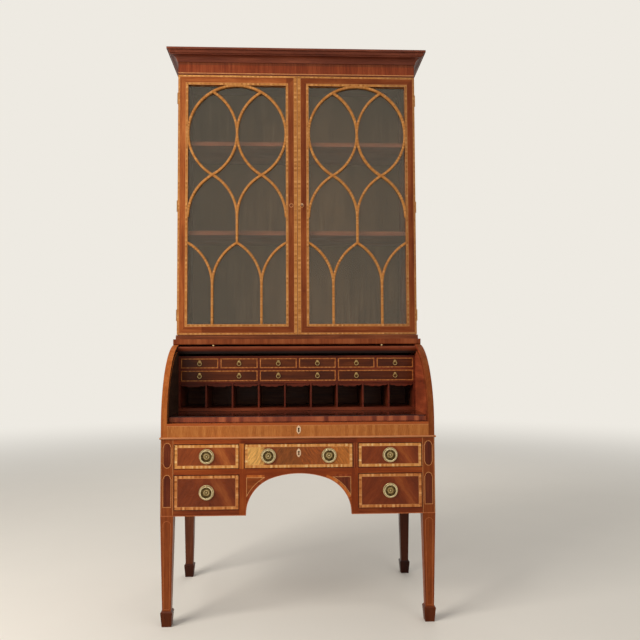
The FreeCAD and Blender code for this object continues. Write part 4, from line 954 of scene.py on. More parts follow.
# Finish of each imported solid, and how far its edges are softened
solidFinishes = {
    "front_left_leg": ("leg", 0.8 * mm), "front_right_leg": ("leg", 0.8 * mm),
    "rear_left_leg": ("rearLeg", 0.8 * mm), "rear_right_leg": ("rearLegDark", 0.8 * mm),
    "desk_front_frame": ("frontRails", 0.4 * mm), "kneehole_apron": ("apron", 0.4 * mm),
    "case_panels": ("casePanel", 0.0), "drawer_boards_and_guides": ("runner", 0.0),
    "bead_moulding": ("bead", 0.0), "cylinder_ends": ("cylinderEnd", 0.8 * mm),
    "cylinder_deck_and_back": ("deck", 0.0), "lock_rail": ("lockRail", 0.0),
    "tambour_lead_rail": ("leadRail", 0.8 * mm), "tambour_canvas": ("canvas", 0.0),
    "tambour_knobs": ("brass", 0.0), "writing_slide": ("slide", 0.0),
    "pigeonhole_case": ("pigeon", 0.4 * mm), "waist_board": ("waist", 0.0),
    "bookcase_plinth": ("plinth", 0.0), "bookcase_carcass": ("carcass", 0.5 * mm),
    "bookcase_shelves": ("shelf", 0.8 * mm), "bookcase_back_boards": ("backBoard", 1.2 * mm),
    "cornice_and_frieze": ("cornice", 0.0), "hinge_fixed_leaves": ("hinge", 0.0),
    "right_door_lock": ("brass", 0.5 * mm), "door_key": ("key", 0.0),
}


def dressSolids():
    for name, (finish, roundness) in solidFinishes.items():
        dress(name, finishes[finish], roundness)
    for door in doorNames:
        dress(door + "_door_frame", finishes[door + "Door"], 0.5 * mm)
        dress(door + "_door_tracery", finishes["satin"])
        dress(door + "_door_glass", finishes["glass"])
        dress(door + "_door_hinge_leaves", finishes["hinge"])


def dressDrawers():
    # thicknesses of the drawer fronts, behind which the drawer sides begin
    thick = {"large": 20 * mm, "small": 8 * mm}
    large = drawerBodyMaterial("largeDrawerWood", deskFront + thick["large"], woods["cockbeadWood"], None)
    for name in largeDrawers:
        dress(name, large, 0.5 * mm)
    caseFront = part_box("pigeonhole_case")[0].y
    small = drawerBodyMaterial("smallDrawerWood", caseFront + thick["small"], woods["smallFrontWood"],
                               caseFront - 0.1 * mm)
    for name in upperSmall + lowerSmall:
        dress(name, small)


dressSolids()
dressDrawers()
print("scene: packed solids dressed")


# Mesh helpers: a piece is drawn on a flat face and stands out of it

def onFront(y):
    # face that looks along -Y: a point is (x, z), out is towards the viewer
    return lambda point, out: Vector((point[0], y - out, point[1]))


def onSideways():
    # outline drawn on the (y, z) plane, out is along X
    return lambda point, out: Vector((out, point[0], point[1]))


def runLayer(bm):
    return bm.loops.layers.uv.get("run") or bm.loops.layers.uv.new("run")


def addFace(bm, corners, coordinates, slot=0):
    face = bm.faces.new(corners)
    face.material_index = slot
    layer = runLayer(bm)
    for loop, place in zip(face.loops, coordinates):
        loop[layer].uv = place
    return face


def joinRings(bm, low, high, spots, slot=0):
    # wall between two rings of points, each column at its own place in the run of veneer
    count = len(low)
    for n in range(count):
        m = (n + 1) % count
        addFace(bm, (low[n], low[m], high[m], high[n]), (spots[n], spots[m], spots[m], spots[n]), slot)


def fullTurn(count):
    return [2 * math.pi * n / count for n in range(count)]


def leftOf(way):
    return Vector((-way.y, way.x))


def flatProfile(width, proud, sunk=0.3 * mm, chamfer=0.08 * mm):
    half = width / 2
    return [(-half, -sunk), (-half, proud - chamfer), (-half + chamfer, proud),
            (half - chamfer, proud), (half, proud - chamfer), (half, -sunk)]


def crownProfile(width, proud, sunk, steps=8):
    half = width / 2
    top = [(-half * math.cos(math.pi * n / steps), proud * math.sin(math.pi * n / steps))
           for n in range(steps + 1)]
    return [(-half, -sunk)] + top + [(half, -sunk)]


def sweep(bm, path, profile, place, closed=False, slot=0):
    # runs a closed profile of (across, out) along a flat path, mitred at its corners
    points = [Vector(point) for point in path]
    count = len(points)
    reach = [0.0]
    for n in range(1, count + (1 if closed else 0)):
        reach.append(reach[-1] + (points[n % count] - points[n - 1]).length)
    rings = []
    for n, point in enumerate(points):
        into = (point - points[n - 1]).normalized() if closed or n > 0 else None
        onward = (points[(n + 1) % count] - point).normalized() if closed or n < count - 1 else None
        into = into or onward
        onward = onward or into
        mitre = (leftOf(into) + leftOf(onward)).normalized()
        mitre = mitre / max(0.25, mitre.dot(leftOf(onward)))
        rings.append([bm.verts.new(place(point + mitre * across, out)) for across, out in profile])
    for n in range(count if closed else count - 1):
        here = rings[n]
        there = rings[(n + 1) % count]
        for k in range(len(profile)):
            m = (k + 1) % len(profile)
            addFace(bm, (here[k], there[k], there[m], here[m]),
                    ((reach[n], profile[k][0]), (reach[n + 1], profile[k][0]),
                     (reach[n + 1], profile[m][0]), (reach[n], profile[m][0])), slot)
    if not closed:
        for n, ring in ((0, rings[0]), (count - 1, rings[-1])):
            addFace(bm, ring, [(reach[n], across) for across, out in profile], slot)


def slab(bm, outline, place, proud, sunk=0.3 * mm, slot=0, spot=None, chamfer=0.08 * mm):
    # flat piece of veneer with a fine chamfer round its face
    spot = spot or (lambda point: (point[0], point[1]))
    count = len(outline)
    points = [Vector(point) for point in outline]
    area = sum(points[n - 1].x * points[n].y - points[n].x * points[n - 1].y for n in range(count))
    turn = 1 if area > 0 else -1
    face = []
    for n, point in enumerate(points):
        into = (point - points[n - 1]).normalized()
        onward = (points[(n + 1) % count] - point).normalized()
        inward = (leftOf(into) + leftOf(onward)).normalized() * turn
        stretch = max(0.3, inward.dot(leftOf(onward) * turn))
        face.append(point + inward * chamfer / stretch)
    rings = [[bm.verts.new(place(point, -sunk)) for point in points],
             [bm.verts.new(place(point, proud - chamfer)) for point in points],
             [bm.verts.new(place(point, proud)) for point in face]]
    for low, high in zip(rings, rings[1:]):
        joinRings(bm, low, high, [spot(point) for point in points], slot)
    addFace(bm, rings[2], [spot(point) for point in face], slot)
    addFace(bm, list(reversed(rings[0])), [spot(point) for point in reversed(points)], slot)


def mitredBand(bm, outer, inner, place, proud, slot=0, sunk=0.3 * mm):
    # four mitred strips between two rectangles of (left, low, right, high)
    left, low, right, high = outer
    a, b, c, d = (left, low), (right, low), (right, high), (left, high)
    e, f, g, h = (inner[0], inner[1]), (inner[2], inner[1]), (inner[2], inner[3]), (inner[0], inner[3])
    # each strip starts at another place in the run of veneer
    for outline, spot in (([a, b, f, e], lambda point: (point[0], point[1] - low)),
                          ([d, c, g, h], lambda point: (point[0] + 0.37, high - point[1])),
                          ([a, d, h, e], lambda point: (point[1] + 0.71, point[0] - left)),
                          ([b, c, g, f], lambda point: (point[1] + 1.13, right - point[0]))):
        slab(bm, outline, place, proud, sunk, slot, spot)


def inset(box, amount):
    left, low, right, high = box
    return (left + amount, low + amount, right - amount, high - amount)


def lathe(bm, profile, place, centre, segments=64, slot=0, depth=None, flute=None):
    # turns a profile of (radius, out) about an axis that points at the viewer
    rings = []
    for radius, out in profile:
        if radius < 1e-7:
            rings.append([bm.verts.new(place(centre, out))])
            continue
        ring = []
        for angle in fullTurn(segments):
            lift = flute(angle, radius) if flute else 0.0
            point = Vector(centre) + Vector((math.cos(angle), math.sin(angle))) * radius
            ring.append(bm.verts.new(place(point, out + lift)))
        rings.append(ring)
    marks = depth or [0.0] * len(profile)
    for index in range(len(rings) - 1):
        low, high = rings[index], rings[index + 1]
        for n in range(segments):
            m = (n + 1) % segments
            corners = [low[n % len(low)], low[m % len(low)], high[m % len(high)], high[n % len(high)]]
            spots = [(0.0, marks[index])] * 2 + [(0.0, marks[index + 1])] * 2
            if len(low) == 1:
                corners, spots = corners[1:], spots[1:]
            elif len(high) == 1:
                corners, spots = corners[:3], spots[:3]
            addFace(bm, corners, spots, slot)


def arcPoints(centre, radius, start, end, step=4.0):
    # points of an arc, with angles in degrees from the first axis
    count = max(2, int(abs(end - start) / step) + 1)
    angles = [math.radians(start + (end - start) * n / count) for n in range(count + 1)]
    return [(centre[0] + radius * math.cos(a), centre[1] + radius * math.sin(a)) for a in angles]


def addObject(name, data):
    made = bpy.data.objects.new(name, data)
    bpy.context.scene.collection.objects.link(made)
    return made


def newPiece(name, bm, body, materials, sharp=32):
    mesh = bpy.data.meshes.new(name)
    bmesh.ops.recalc_face_normals(bm, faces=bm.faces)
    bm.to_mesh(mesh)
    bm.free()
    for face in mesh.polygons:
        face.use_smooth = True
    mesh.set_sharp_from_angle(angle=math.radians(sharp))
    for material in materials:
        mesh.materials.append(material)
    piece = addObject(name, mesh)
    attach(piece, body)
    return piece


# Doors: satinwood bands with pale lines, crowned glazing bars, round key plates

doorInlay = {
    "outerStile": 44 * mm, "meetingStile": 50 * mm, "topRail": 44 * mm, "bottomRail": 46 * mm,
    "innerBand": 10.4 * mm, "outerBand": 7.6 * mm, "meetingBand": 14 * mm,
    "edgeMargin": 0.6 * mm, "lineWidth": 1.1 * mm, "proud": 0.25 * mm,
}


def glassOpening(side):
    # left, low, right and high edges of the opening of one door
    low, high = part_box(("left" if side < 0 else "right") + "_door_frame")
    inner = doorInlay["meetingStile"]
    outer = doorInlay["outerStile"]
    left, right = (low.x + inner, high.x - outer) if side > 0 else (low.x + outer, high.x - inner)
    return left, low.z + doorInlay["bottomRail"], right, high.z - doorInlay["topRail"]


def makeDoorBands(door, side):
    low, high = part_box(door + "_door_frame")
    place = onFront(low.y)
    edge = inset((low.x, low.z, high.x, high.z), doorInlay["edgeMargin"])
    plain = doorInlay["outerBand"]
    wide = doorInlay["meetingBand"]
    line = doorInlay["lineWidth"]
    proud = doorInlay["proud"]
    toLeft, toRight = (wide, plain) if side > 0 else (plain, wide)
    ring = (edge[0] + toLeft, edge[1] + plain, edge[2] - toRight, edge[3] - plain)
    opening = glassOpening(side)
    glassEdge = inset(opening, -0.2 * mm)
    around = inset(opening, -doorInlay["innerBand"])
    bands = bmesh.new()
    mitredBand(bands, inset(edge, line), inset(ring, -line), place, proud)
    mitredBand(bands, inset(around, line), inset(glassEdge, -line), place, proud)
    newPiece(door + "_door_satinwood_bands", bands, door + "_door",
             [finishes["doorBand"]])
    lines = bmesh.new()
    mitredBand(lines, edge, inset(edge, line), place, proud)
    mitredBand(lines, inset(ring, -line), ring, place, proud)
    mitredBand(lines, around, inset(around, line), place, proud)
    mitredBand(lines, inset(glassEdge, -line), glassEdge, place, proud)
    newPiece(door + "_door_boxwood_lines", lines, door + "_door", [finishes["string"]])


tracery = {"barWidth": 10.5 * mm, "cover": 0.3 * mm, "recess": 2 * mm, "crown": 1.5 * mm, "sunk": 1.0 * mm,
           "point": 60.0, "uprightShare": 0.4005}


def traceryPaths(side):
    # centre lines of the glazing bars: every arc has half the opening as its radius
    left, low, right, high = glassOpening(side)
    radius = (right - left) / 2
    middle = (left + right) / 2
    point = tracery["point"]
    rise = radius * math.sin(math.radians(point))
    topCentre = high - radius
    lowCentre = topCentre - 2 * rise
    apex = lowCentre - (lowCentre - rise - low) * tracery["uprightShare"]
    spring = apex - rise
    nearLeft = left + radius / 2
    nearRight = right - radius / 2
    paths = [arcPoints((middle, topCentre), radius, -point, 4 * point),
             arcPoints((left, topCentre), radius, -point, point),
             arcPoints((right, topCentre), radius, 2 * point, 4 * point)]
    for x, z in ((left, lowCentre), (middle, lowCentre), (nearLeft, spring), (nearLeft - radius, spring)):
        paths.append(arcPoints((x, z), radius, 0, point))
    for x, z in ((right, lowCentre), (middle, lowCentre), (nearRight, spring), (nearRight + radius, spring)):
        paths.append(arcPoints((x, z), radius, 2 * point, 3 * point))
    paths.append([(middle, apex), (middle, lowCentre)])
    paths += [[(x, low), (x, spring)] for x in (nearLeft, nearRight)]
    return paths


def makeTraceryVeneer(door, side):
    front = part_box(door + "_door_frame")[0].y + tracery["recess"]
    bm = bmesh.new()
    profile = crownProfile(tracery["barWidth"] + tracery["cover"], tracery["crown"], tracery["sunk"])
    for path in traceryPaths(side):
        sweep(bm, path, profile, onFront(front))
    newPiece(door + "_door_bar_veneer", bm, door + "_door", [finishes["satinBar"]], 60)


# Every keyhole: the hole cut for the key, and the wider two-lobed opening of the plate round it
keyhole = {"radius": 2.6 * mm, "slot": 2.6 * mm, "drop": 8 * mm,
           "topLobe": 3.6 * mm, "topRise": 3.4 * mm, "footLobe": 3.4 * mm, "footDrop": 5.6 * mm,
           "neck": 4.4 * mm, "middleDrop": 1 * mm}
keyPlate = {"radius": 8.8 * mm, "ring": 2.2 * mm, "thick": 0.7 * mm, "discThick": 0.75, "heightShare": 0.495,
            "fromEdge": {"left": 26 * mm, "right": 19.5 * mm}, "far": 0.03}


def holedPlate(bm, outline, inner, middle, place, proud, sunk=0.2 * mm, chamfer=0.25 * mm, slot=0):
    # plate with a hole; both outlines have as many points, each pair on one ray from the middle
    pulled = [point + (Vector(middle) - point).normalized() * chamfer for point in outline]
    rings = [[bm.verts.new(place(point, -sunk)) for point in outline],
             [bm.verts.new(place(point, proud - chamfer)) for point in outline],
             [bm.verts.new(place(point, proud)) for point in pulled],
             [bm.verts.new(place(point, proud)) for point in inner],
             [bm.verts.new(place(point, -sunk)) for point in inner]]
    rings.append(rings[0])
    for low, high in zip(rings, rings[1:]):
        joinRings(bm, low, high, [(0, 0)] * len(outline), slot)


def rayOutline(middle, inside, count, far):
    # outline of a shape, found by halving along rays from a point inside it
    points = []
    for angle in fullTurn(count):
        ray = Vector((math.cos(angle), math.sin(angle)))
        near, away = 0.0, far
        for halving in range(24):
            half = (near + away) / 2
            near, away = (half, away) if inside(Vector(middle) + ray * half) else (near, half)
        points.append(Vector(middle) + ray * near)
    return points


def cutKeyhole(centre):
    def inside(point):
        away = point - Vector(centre)
        return away.length < keyhole["radius"] or (abs(away.x) < keyhole["slot"] / 2
                                                   and -keyhole["drop"] < away.y < 0)
    return inside


def plateOpening(centre):
    def inside(point):
        away = point - Vector(centre)
        top = (away - Vector((0, keyhole["topRise"]))).length < keyhole["topLobe"]
        foot = (away + Vector((0, keyhole["footDrop"]))).length < keyhole["footLobe"]
        neck = abs(away.x) < keyhole["neck"] / 2 and -keyhole["footDrop"] < away.y < keyhole["topRise"]
        return top or foot or neck
    return inside


def addKeyholePlate(bm, centre, inside, place, thick, far):
    # pale plate, and in its opening the dark metal face of the lock with the true keyhole; its darkness is
    # painted shade for the hollow of the keyhole
    middle = Vector((centre[0], centre[1] - keyhole["middleDrop"]))
    outline = rayOutline(middle, inside, 64, far)
    opening = rayOutline(middle, plateOpening(centre), 64, far)
    hole = rayOutline(middle, cutKeyhole(centre), 64, far)
    holedPlate(bm, outline, opening, middle, place, thick)
    holedPlate(bm, opening, hole, middle, place, thick * 0.7, chamfer=0.05 * mm, slot=1)


def makeKeyPlate(door, side):
    # pale ring let in round a disc of dark wood with the keyhole
    low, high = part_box(door + "_door_frame")
    edge = low.x if side > 0 else high.x
    centre = Vector((edge + side * keyPlate["fromEdge"][door],
                     low.z + (high.z - low.z) * keyPlate["heightShare"]))
    middle = Vector((centre.x, centre.y - keyhole["middleDrop"]))
    place = onFront(low.y)
    far = keyPlate["far"]
    small = keyPlate["radius"] - keyPlate["ring"]
    outer = rayOutline(middle, lambda point: (point - centre).length < keyPlate["radius"], 64, far)
    inner = rayOutline(middle, lambda point: (point - centre).length < small, 64, far)
    hole = rayOutline(middle, cutKeyhole(centre), 64, far)
    bm = bmesh.new()
    holedPlate(bm, outer, inner, middle, place, keyPlate["thick"])
    holedPlate(bm, inner, hole, middle, place, keyPlate["thick"] * keyPlate["discThick"],
               chamfer=0.05 * mm, slot=1)
    newPiece(door + "_door_key_plate", bm, door + "_door",
             [finishes["string"], finishes["postPanel"]])


for doorName, doorSide in doorNames.items():
    makeDoorBands(doorName, doorSide)
    makeTraceryVeneer(doorName, doorSide)
    makeKeyPlate(doorName, doorSide)
print("scene: doors inlaid")


# Frieze: upright veneer over the doors, with a pale line along its foot

friezeInlay = {"line": 2.6 * mm, "lift": 4.6 * mm, "proud": 0.25 * mm, "overDoor": 3 * mm,
               "height": 54 * mm, "back": 1.0 * mm}


def makeFrieze():
    low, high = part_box("bookcase_carcass")
    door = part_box("left_door_frame")
    start = door[1].z + friezeInlay["overDoor"]
    foot = start + friezeInlay["lift"]
    top = foot + friezeInlay["line"]
    head = start + friezeInlay["height"]
    place = onFront(door[0].y + friezeInlay["back"])
    veneer = bmesh.new()
    slab(veneer, [(low.x, top), (high.x, top), (high.x, head), (low.x, head)], place, friezeInlay["proud"])
    newPiece("frieze_veneer", veneer, "root", [finishes["frieze"]])
    line = bmesh.new()
    slab(line, [(low.x, foot), (high.x, foot), (high.x, top), (low.x, top)], place, friezeInlay["proud"])
    newPiece("frieze_line", line, "root", [finishes["string"]])


makeFrieze()


# Back boards: loose tongues close the gaps between them

backTongues = {"boards": 6, "width": 8 * mm, "thick": 2.4 * mm, "short": 2 * mm}


def makeBackTongues():
    low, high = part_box("bookcase_back_boards")
    place = onFront((low.y + high.y) / 2)
    half = backTongues["width"] / 2
    foot, head = low.z + backTongues["short"], high.z - backTongues["short"]
    bm = bmesh.new()
    for n in range(1, backTongues["boards"]):
        x = low.x + (high.x - low.x) * n / backTongues["boards"]
        slab(bm, [(x - half, foot), (x + half, foot), (x + half, head), (x - half, head)], place,
             backTongues["thick"] / 2, backTongues["thick"] / 2)
    newPiece("back_board_tongues", bm, "root", [finishes["backBoard"]])


makeBackTongues()


# Large drawers: flame veneer in a satinwood crossband, between pale lines

drawerInlay = {"cockbead": 2.7 * mm, "band": 10.2 * mm, "line": 1.0 * mm, "proud": 0.3 * mm}


# How much lighter or darker each drawer's veneer is than the common tones: painted light on the upper left
# and centre drawers, painted shade on the upper right and lower ones
flamePaintedLight = {
    "upper_left_drawer": (1.12, 1.35, 1.25), "upper_right_drawer": (0.94, 1.0, 0.86),
    "lower_left_drawer": (0.8, 0.86, 0.8), "lower_right_drawer": (0.79, 0.8, 0.72),
    "centre_drawer": (1.12, 1.4, 1.25),
}

# Centre drawer: dark heart in the middle, orange right end, pale sapwood at the left end; each patch
# starts and ends at an x in metres, and has its colour and its strength
centrePatches = [(-0.1, -0.075, (124, 64, 31), 0.75), (-0.02, 0.04, (144, 66, 30), 0.8),
                 (0.1, 0.16, (176, 96, 44), 0.85), (-0.13, -0.155, (214, 146, 84), 0.95)]


def drawerFlames():
    made = {}
    for name in largeDrawers:
        flame = dict(drawerFlame, node=name, shade=flamePaintedLight[name])
        if name == "centre_drawer":
            flame["patches"] = centrePatches
        made[name] = flameMaterial(name.replace("_", " ").title().replace(" ", "") + "Flame", flame)
    return made


def makeDrawerFronts():
    flames = drawerFlames()
    place = onFront(deskFront)
    for name in largeDrawers:
        low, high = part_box(name)
        face = inset((low.x, low.z, high.x, high.z), drawerInlay["cockbead"])
        lineEdge = inset(face, drawerInlay["band"])
        panel = inset(lineEdge, drawerInlay["line"])
        bands = bmesh.new()
        mitredBand(bands, face, lineEdge, place, drawerInlay["proud"], 0)
        mitredBand(bands, lineEdge, panel, place, drawerInlay["proud"], 1)
        newPiece(name + "_crossbanding", bands, name + "_body",
                 [finishes["lowDrawerBand" if name.startswith("lower") else "drawerBand"],
                  finishes["string"]])
        sheet = bmesh.new()
        left, foot, right, head = panel
        slab(sheet, [(left, foot), (right, foot), (right, head), (left, head)], place, drawerInlay["proud"])
        newPiece(name + "_flame_veneer", sheet, name + "_body", [flames[name]])


makeDrawerFronts()
print("scene: drawer fronts veneered")


# Large ring pulls: turned plate with a rosette, eye, bolt and nut, and the hanging ring

# Profile in millimetres (radius, out) from the middle of the boss to the rim: button, ring of petals, dark
# channel, beaded rim and flat back; the hollows say how deep in the relief each point lies
pull = {
    "profile": [(0, 7.2), (1.6, 7.1), (3.0, 6.6), (3.9, 5.7), (4.3, 4.8), (5.0, 4.3), (5.8, 4.6), (7.2, 5.3),
                (9.2, 5.5), (11.2, 5.1), (12.9, 4.2), (14.0, 3.2), (14.5, 2.4), (16.0, 2.1), (19.0, 2.1),
                (22.0, 2.2), (24.4, 2.4), (25.2, 2.9), (25.9, 3.35), (26.8, 3.6), (27.8, 3.55), (28.7, 3.1),
                (29.2, 2.4), (29.5, 1.4), (29.5, 0.0), (2.4, 0.0)],
    "hollows": [0.05, 0.1, 0.3, 0.6, 0.85, 0.95, 0.75, 0.5, 0.4, 0.5, 0.7, 0.85, 1.0, 1.0, 1.0, 1.0, 0.8,
                0.5, 0.15, 0.0, 0.0, 0.1, 0.3, 0.5, 0.8, 0.9, 0.9, 0.6],
    "petals": 12, "petalStart": 5.5 * mm, "petalEnd": 13.5 * mm, "petalSpan": 8.0 * mm, "petalDip": 0.9 * mm,
    "bolt": 2.4 * mm, "board": 20 * mm, "play": 0.05 * mm, "nut": 6 * mm, "nutThick": 4 * mm,
    "nutEase": 0.8 * mm, "nutTaper": 0.86,
    "ring": 23 * mm, "wire": 2.6 * mm, "stand": 8 * mm, "turns": 112,
    "eye": 4.4 * mm, "eyeWire": 0.95 * mm, "eyeWide": 1.9, "ballRise": 0.6 * mm,
    "neck": [(0, 4.2), (1.7, 4.0), (2.1, 3.4), (2.4, 2.9), (3.4, 2.4), (4.1, 1.9), (4.1, 1.0), (0, 1.0)],
    "ball": (2.1, 8.6),
}

# Bodies of each drawer's rings, with the ending of the ring's name
pullRings = {"centre_drawer": [("centre_ring_1_body", "_1"), ("centre_ring_2_body", "_2")]}
for corner in ("upper_left", "upper_right", "lower_left", "lower_right"):
    pullRings[corner + "_drawer"] = [(corner + "_ring_body", "")]


def turnedProfile(pairs):
    # millimetres into metres
    return [(radius * mm, out * mm) for radius, out in pairs]


def addPullPlate(bm, place, centre):
    nut = pull["board"] + pull["nutThick"]
    profile = turnedProfile(pull["profile"]) + [(pull["bolt"], -nut), (0, -nut)]

    def flute(angle, radius):
        if pull["petalStart"] < radius < pull["petalEnd"]:
            swell = math.sin(math.pi * (radius - pull["petalStart"]) / pull["petalSpan"])
            return -pull["petalDip"] * swell * (0.5 - 0.5 * math.cos(pull["petals"] * angle)) ** 2
        return 0.0

    lathe(bm, profile, place, centre, 96, 0, pull["hollows"], flute)


def addNut(bm, place, centre):
    # six-sided nut with a softened back corner, behind the drawer front
    start = pull["board"] + pull["play"]
    end = start + pull["nutThick"]
    corners = [(math.cos(math.pi * n / 3) * pull["nut"], math.sin(math.pi * n / 3) * pull["nut"])
               for n in range(6)]
    rings = []
    for share, out in ((1.0, -start), (1.0, -end + pull["nutEase"]), (pull["nutTaper"], -end)):
        rings.append([bm.verts.new(place((centre[0] + x * share, centre[1] + z * share), out))
                      for x, z in corners])
    for low, high in zip(rings, rings[1:]):
        joinRings(bm, low, high, [(0, 0.5)] * 6)
    for ring in (rings[0], rings[-1]):
        addFace(bm, ring, [(0, 0.5)] * 6)


def addEye(bm, place, centre):
    # small loop on a waisted neck that carries the ring, with a bead on top
    pivotZ = centre[1] + pull["ring"]
    pivotY = deskFront - pull["stand"]
    circle = [(pivotY + pull["eye"] * math.cos(a), pivotZ + pull["eye"] * math.sin(a))
              for a in fullTurn(40)]
    wire = [(pull["eyeWire"] * math.cos(a), centre[0] + pull["eyeWire"] * pull["eyeWide"] * math.sin(a))
            for a in fullTurn(16)]
    sweep(bm, circle, wire, onSideways(), True)
    lathe(bm, turnedProfile(pull["neck"]), place, (centre[0], pivotZ), 32)
    size, out = pull["ball"]
    angles = [math.pi * n / 10 for n in range(11)]
    ball = [(max(size * math.sin(a), 0), out + size * math.cos(a)) for a in angles]
    lathe(bm, turnedProfile(ball), place, (centre[0], pivotZ + pull["eye"] + pull["ballRise"]), 24)


def makeLargePulls():
    place = onFront(deskFront)
    for name, rings in pullRings.items():
        plates = bmesh.new()
        for ringBody, suffix in rings:
            ringNode = name + "_pull_ring" + suffix
            ringLow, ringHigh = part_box(ringNode)
            centre = Vector(((ringLow.x + ringHigh.x) / 2, (ringLow.z + ringHigh.z) / 2))
            addPullPlate(plates, place, centre)
            addNut(plates, place, centre)
            addEye(plates, place, centre)
            bm = bmesh.new()
            path = [(centre.x + pull["ring"] * math.sin(a), centre.y + pull["ring"] * math.cos(a))
                    for a in fullTurn(pull["turns"])]
            wire = [(pull["wire"] * math.cos(a), pull["stand"] + pull["wire"] * math.sin(a))
                    for a in fullTurn(20)]
            sweep(bm, path, wire, place, True)
            ring = newPiece(ringNode + "_cast", bm, ringBody, [finishes["pullRing"]], 80)
            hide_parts(ringNode)
        plate = newPiece(name + "_pull_rosette", plates, name + "_body",
                         [finishes["pullPlate"]], 50)
        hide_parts(name + "_pull_plate")


makeLargePulls()
print("scene: large pulls made")


# Bone escutcheons: pointed shields with straight sides on the lock rail and the centre drawer

shield = {"width": 16.6 * mm, "height": 35 * mm, "straight": 0.3, "bow": 1.7, "thick": 0.8 * mm,
          "far": 0.04, "drawerRise": 11 * mm}


def insideShield(centre):
    def inside(point):
        across = abs(point.x - centre[0]) / (shield["width"] / 2)
        up = abs(point.y - centre[1]) / (shield["height"] / 2)
        if up <= shield["straight"]:
            return across <= 1.0
        share = (up - shield["straight"]) / (1 - shield["straight"])
        return share <= 1.0 and across <= 1.0 - share ** shield["bow"]
    return inside


def makeEscutcheon(name, body, height):
    centre = (0.0, height)
    bm = bmesh.new()
    addKeyholePlate(bm, centre, insideShield(centre), onFront(deskFront), shield["thick"], shield["far"])
    newPiece(name, bm, body, [finishes["bone"], finishes["keyholeShadeMetal"]])


def makeEscutcheons():
    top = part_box("desk_front_frame")[1].z
    low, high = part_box("centre_drawer")
    makeEscutcheon("lock_rail_escutcheon", "root", (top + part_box("lock_rail")[1].z) / 2)
    height = (low.z + high.z + drawerJoint) / 2 + shield["drawerRise"]
    makeEscutcheon("centre_drawer_escutcheon", "centre_drawer_body", height)


makeEscutcheons()


# Desk front: post panels, leg lines, spandrels under the centre drawer, edge lines

postInlay = {
    "panelWidth": 26 * mm, "lineGap": 2.6 * mm, "lineWidth": 1.6 * mm, "proud": 0.2 * mm,
    "upperLow": 608 * mm, "upperHigh": 699 * mm, "lowerLow": 458 * mm, "lowerHigh": 576 * mm,
    "edgeLine": 1.3 * mm, "edgeInset": 2.4 * mm, "shoulder": 0.16, "panelProud": 0.8,
}


def archedPanel(x, half, low, high, bothEnds):
    # outline with round ends that spring from small shoulders, or a square foot
    shoulder = half * postInlay["shoulder"]
    radius = half - shoulder
    top = [(x + half, high - radius - shoulder), (x + half - shoulder, high - radius)]
    top += arcPoints((x, high - radius), radius, 0, 180, 10)[1:-1]
    top += [(x - half + shoulder, high - radius), (x - half, high - radius - shoulder)]
    if not bothEnds:
        return [(x - half, low), (x + half, low)] + top
    foot = [(x - half, low + radius + shoulder), (x - half + shoulder, low + radius)]
    foot += arcPoints((x, low + radius), radius, 180, 360, 10)[1:-1]
    foot += [(x + half - shoulder, low + radius), (x + half, low + radius + shoulder)]
    return foot + top


def makePostInlays():
    place = onFront(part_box("front_left_leg")[0].y)
    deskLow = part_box("desk_front_frame")[0].z
    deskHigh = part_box("bead_moulding")[0].z
    panels = bmesh.new()
    lines = bmesh.new()
    for hand in ("left", "right"):
        low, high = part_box("front_" + hand + "_leg")
        x = (low.x + high.x) / 2
        half = postInlay["panelWidth"] / 2
        for bottom, top, bothEnds in ((postInlay["upperLow"], postInlay["upperHigh"], True),
                                      (postInlay["lowerLow"], postInlay["lowerHigh"], False)):
            outline = archedPanel(x, half, bottom, top, bothEnds)
            slab(panels, outline, place, postInlay["proud"] * postInlay["panelProud"])
            grow = postInlay["lineGap"]
            outline = archedPanel(x, half + grow, bottom - grow, top + grow, bothEnds)
            sweep(lines, outline, flatProfile(postInlay["lineWidth"], postInlay["proud"]), place, True)
        for side in (-1, 1):
            edge = x + side * ((high.x - low.x) / 2 - postInlay["edgeInset"])
            sweep(lines, [(edge, deskLow), (edge, deskHigh)],
                  flatProfile(postInlay["edgeLine"], postInlay["proud"]), place)
    newPiece("front_post_panels", panels, "root", [finishes["postPanel"]])
    newPiece("front_post_lines", lines, "root", [finishes["string"]])


legInlay = {"insetShare": 0.2, "top": 402 * mm, "foot": 66 * mm, "line": 1.7 * mm, "proud": 0.2 * mm,
            "ankle": 34 * mm, "ankleHeight": 60 * mm}


def makeLegLines():
    # outline with an arched top on the tapering face of each front leg
    bm = bmesh.new()
    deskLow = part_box("desk_front_frame")[0].z
    for hand in ("left", "right"):
        low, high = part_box("front_" + hand + "_leg")
        x = (low.x + high.x) / 2
        size = high.x - low.x
        drop = (size - legInlay["ankle"]) / 2

        def width(z):
            share = (deskLow - z) / (deskLow - legInlay["ankleHeight"])
            return size - 2 * drop * max(0.0, share)

        def place(point, out):
            share = max(0.0, (deskLow - point[1]) / (deskLow - legInlay["ankleHeight"]))
            return Vector((point[0], low.y + drop * share - out, point[1]))

        def half(z):
            return width(z) * (0.5 - legInlay["insetShare"])

        topHalf = half(legInlay["top"])
        spring = legInlay["top"] - topHalf
        foot = legInlay["foot"]
        path = [(x - half(foot), foot), (x + half(foot), foot)]
        path += [(x + topHalf * math.cos(a), spring + topHalf * math.sin(a))
                 for a in [math.pi * n / 14 for n in range(15)]]
        sweep(bm, path, flatProfile(legInlay["line"], legInlay["proud"]), place, True)
    newPiece("front_leg_lines", bm, "root", [finishes["redString"]])


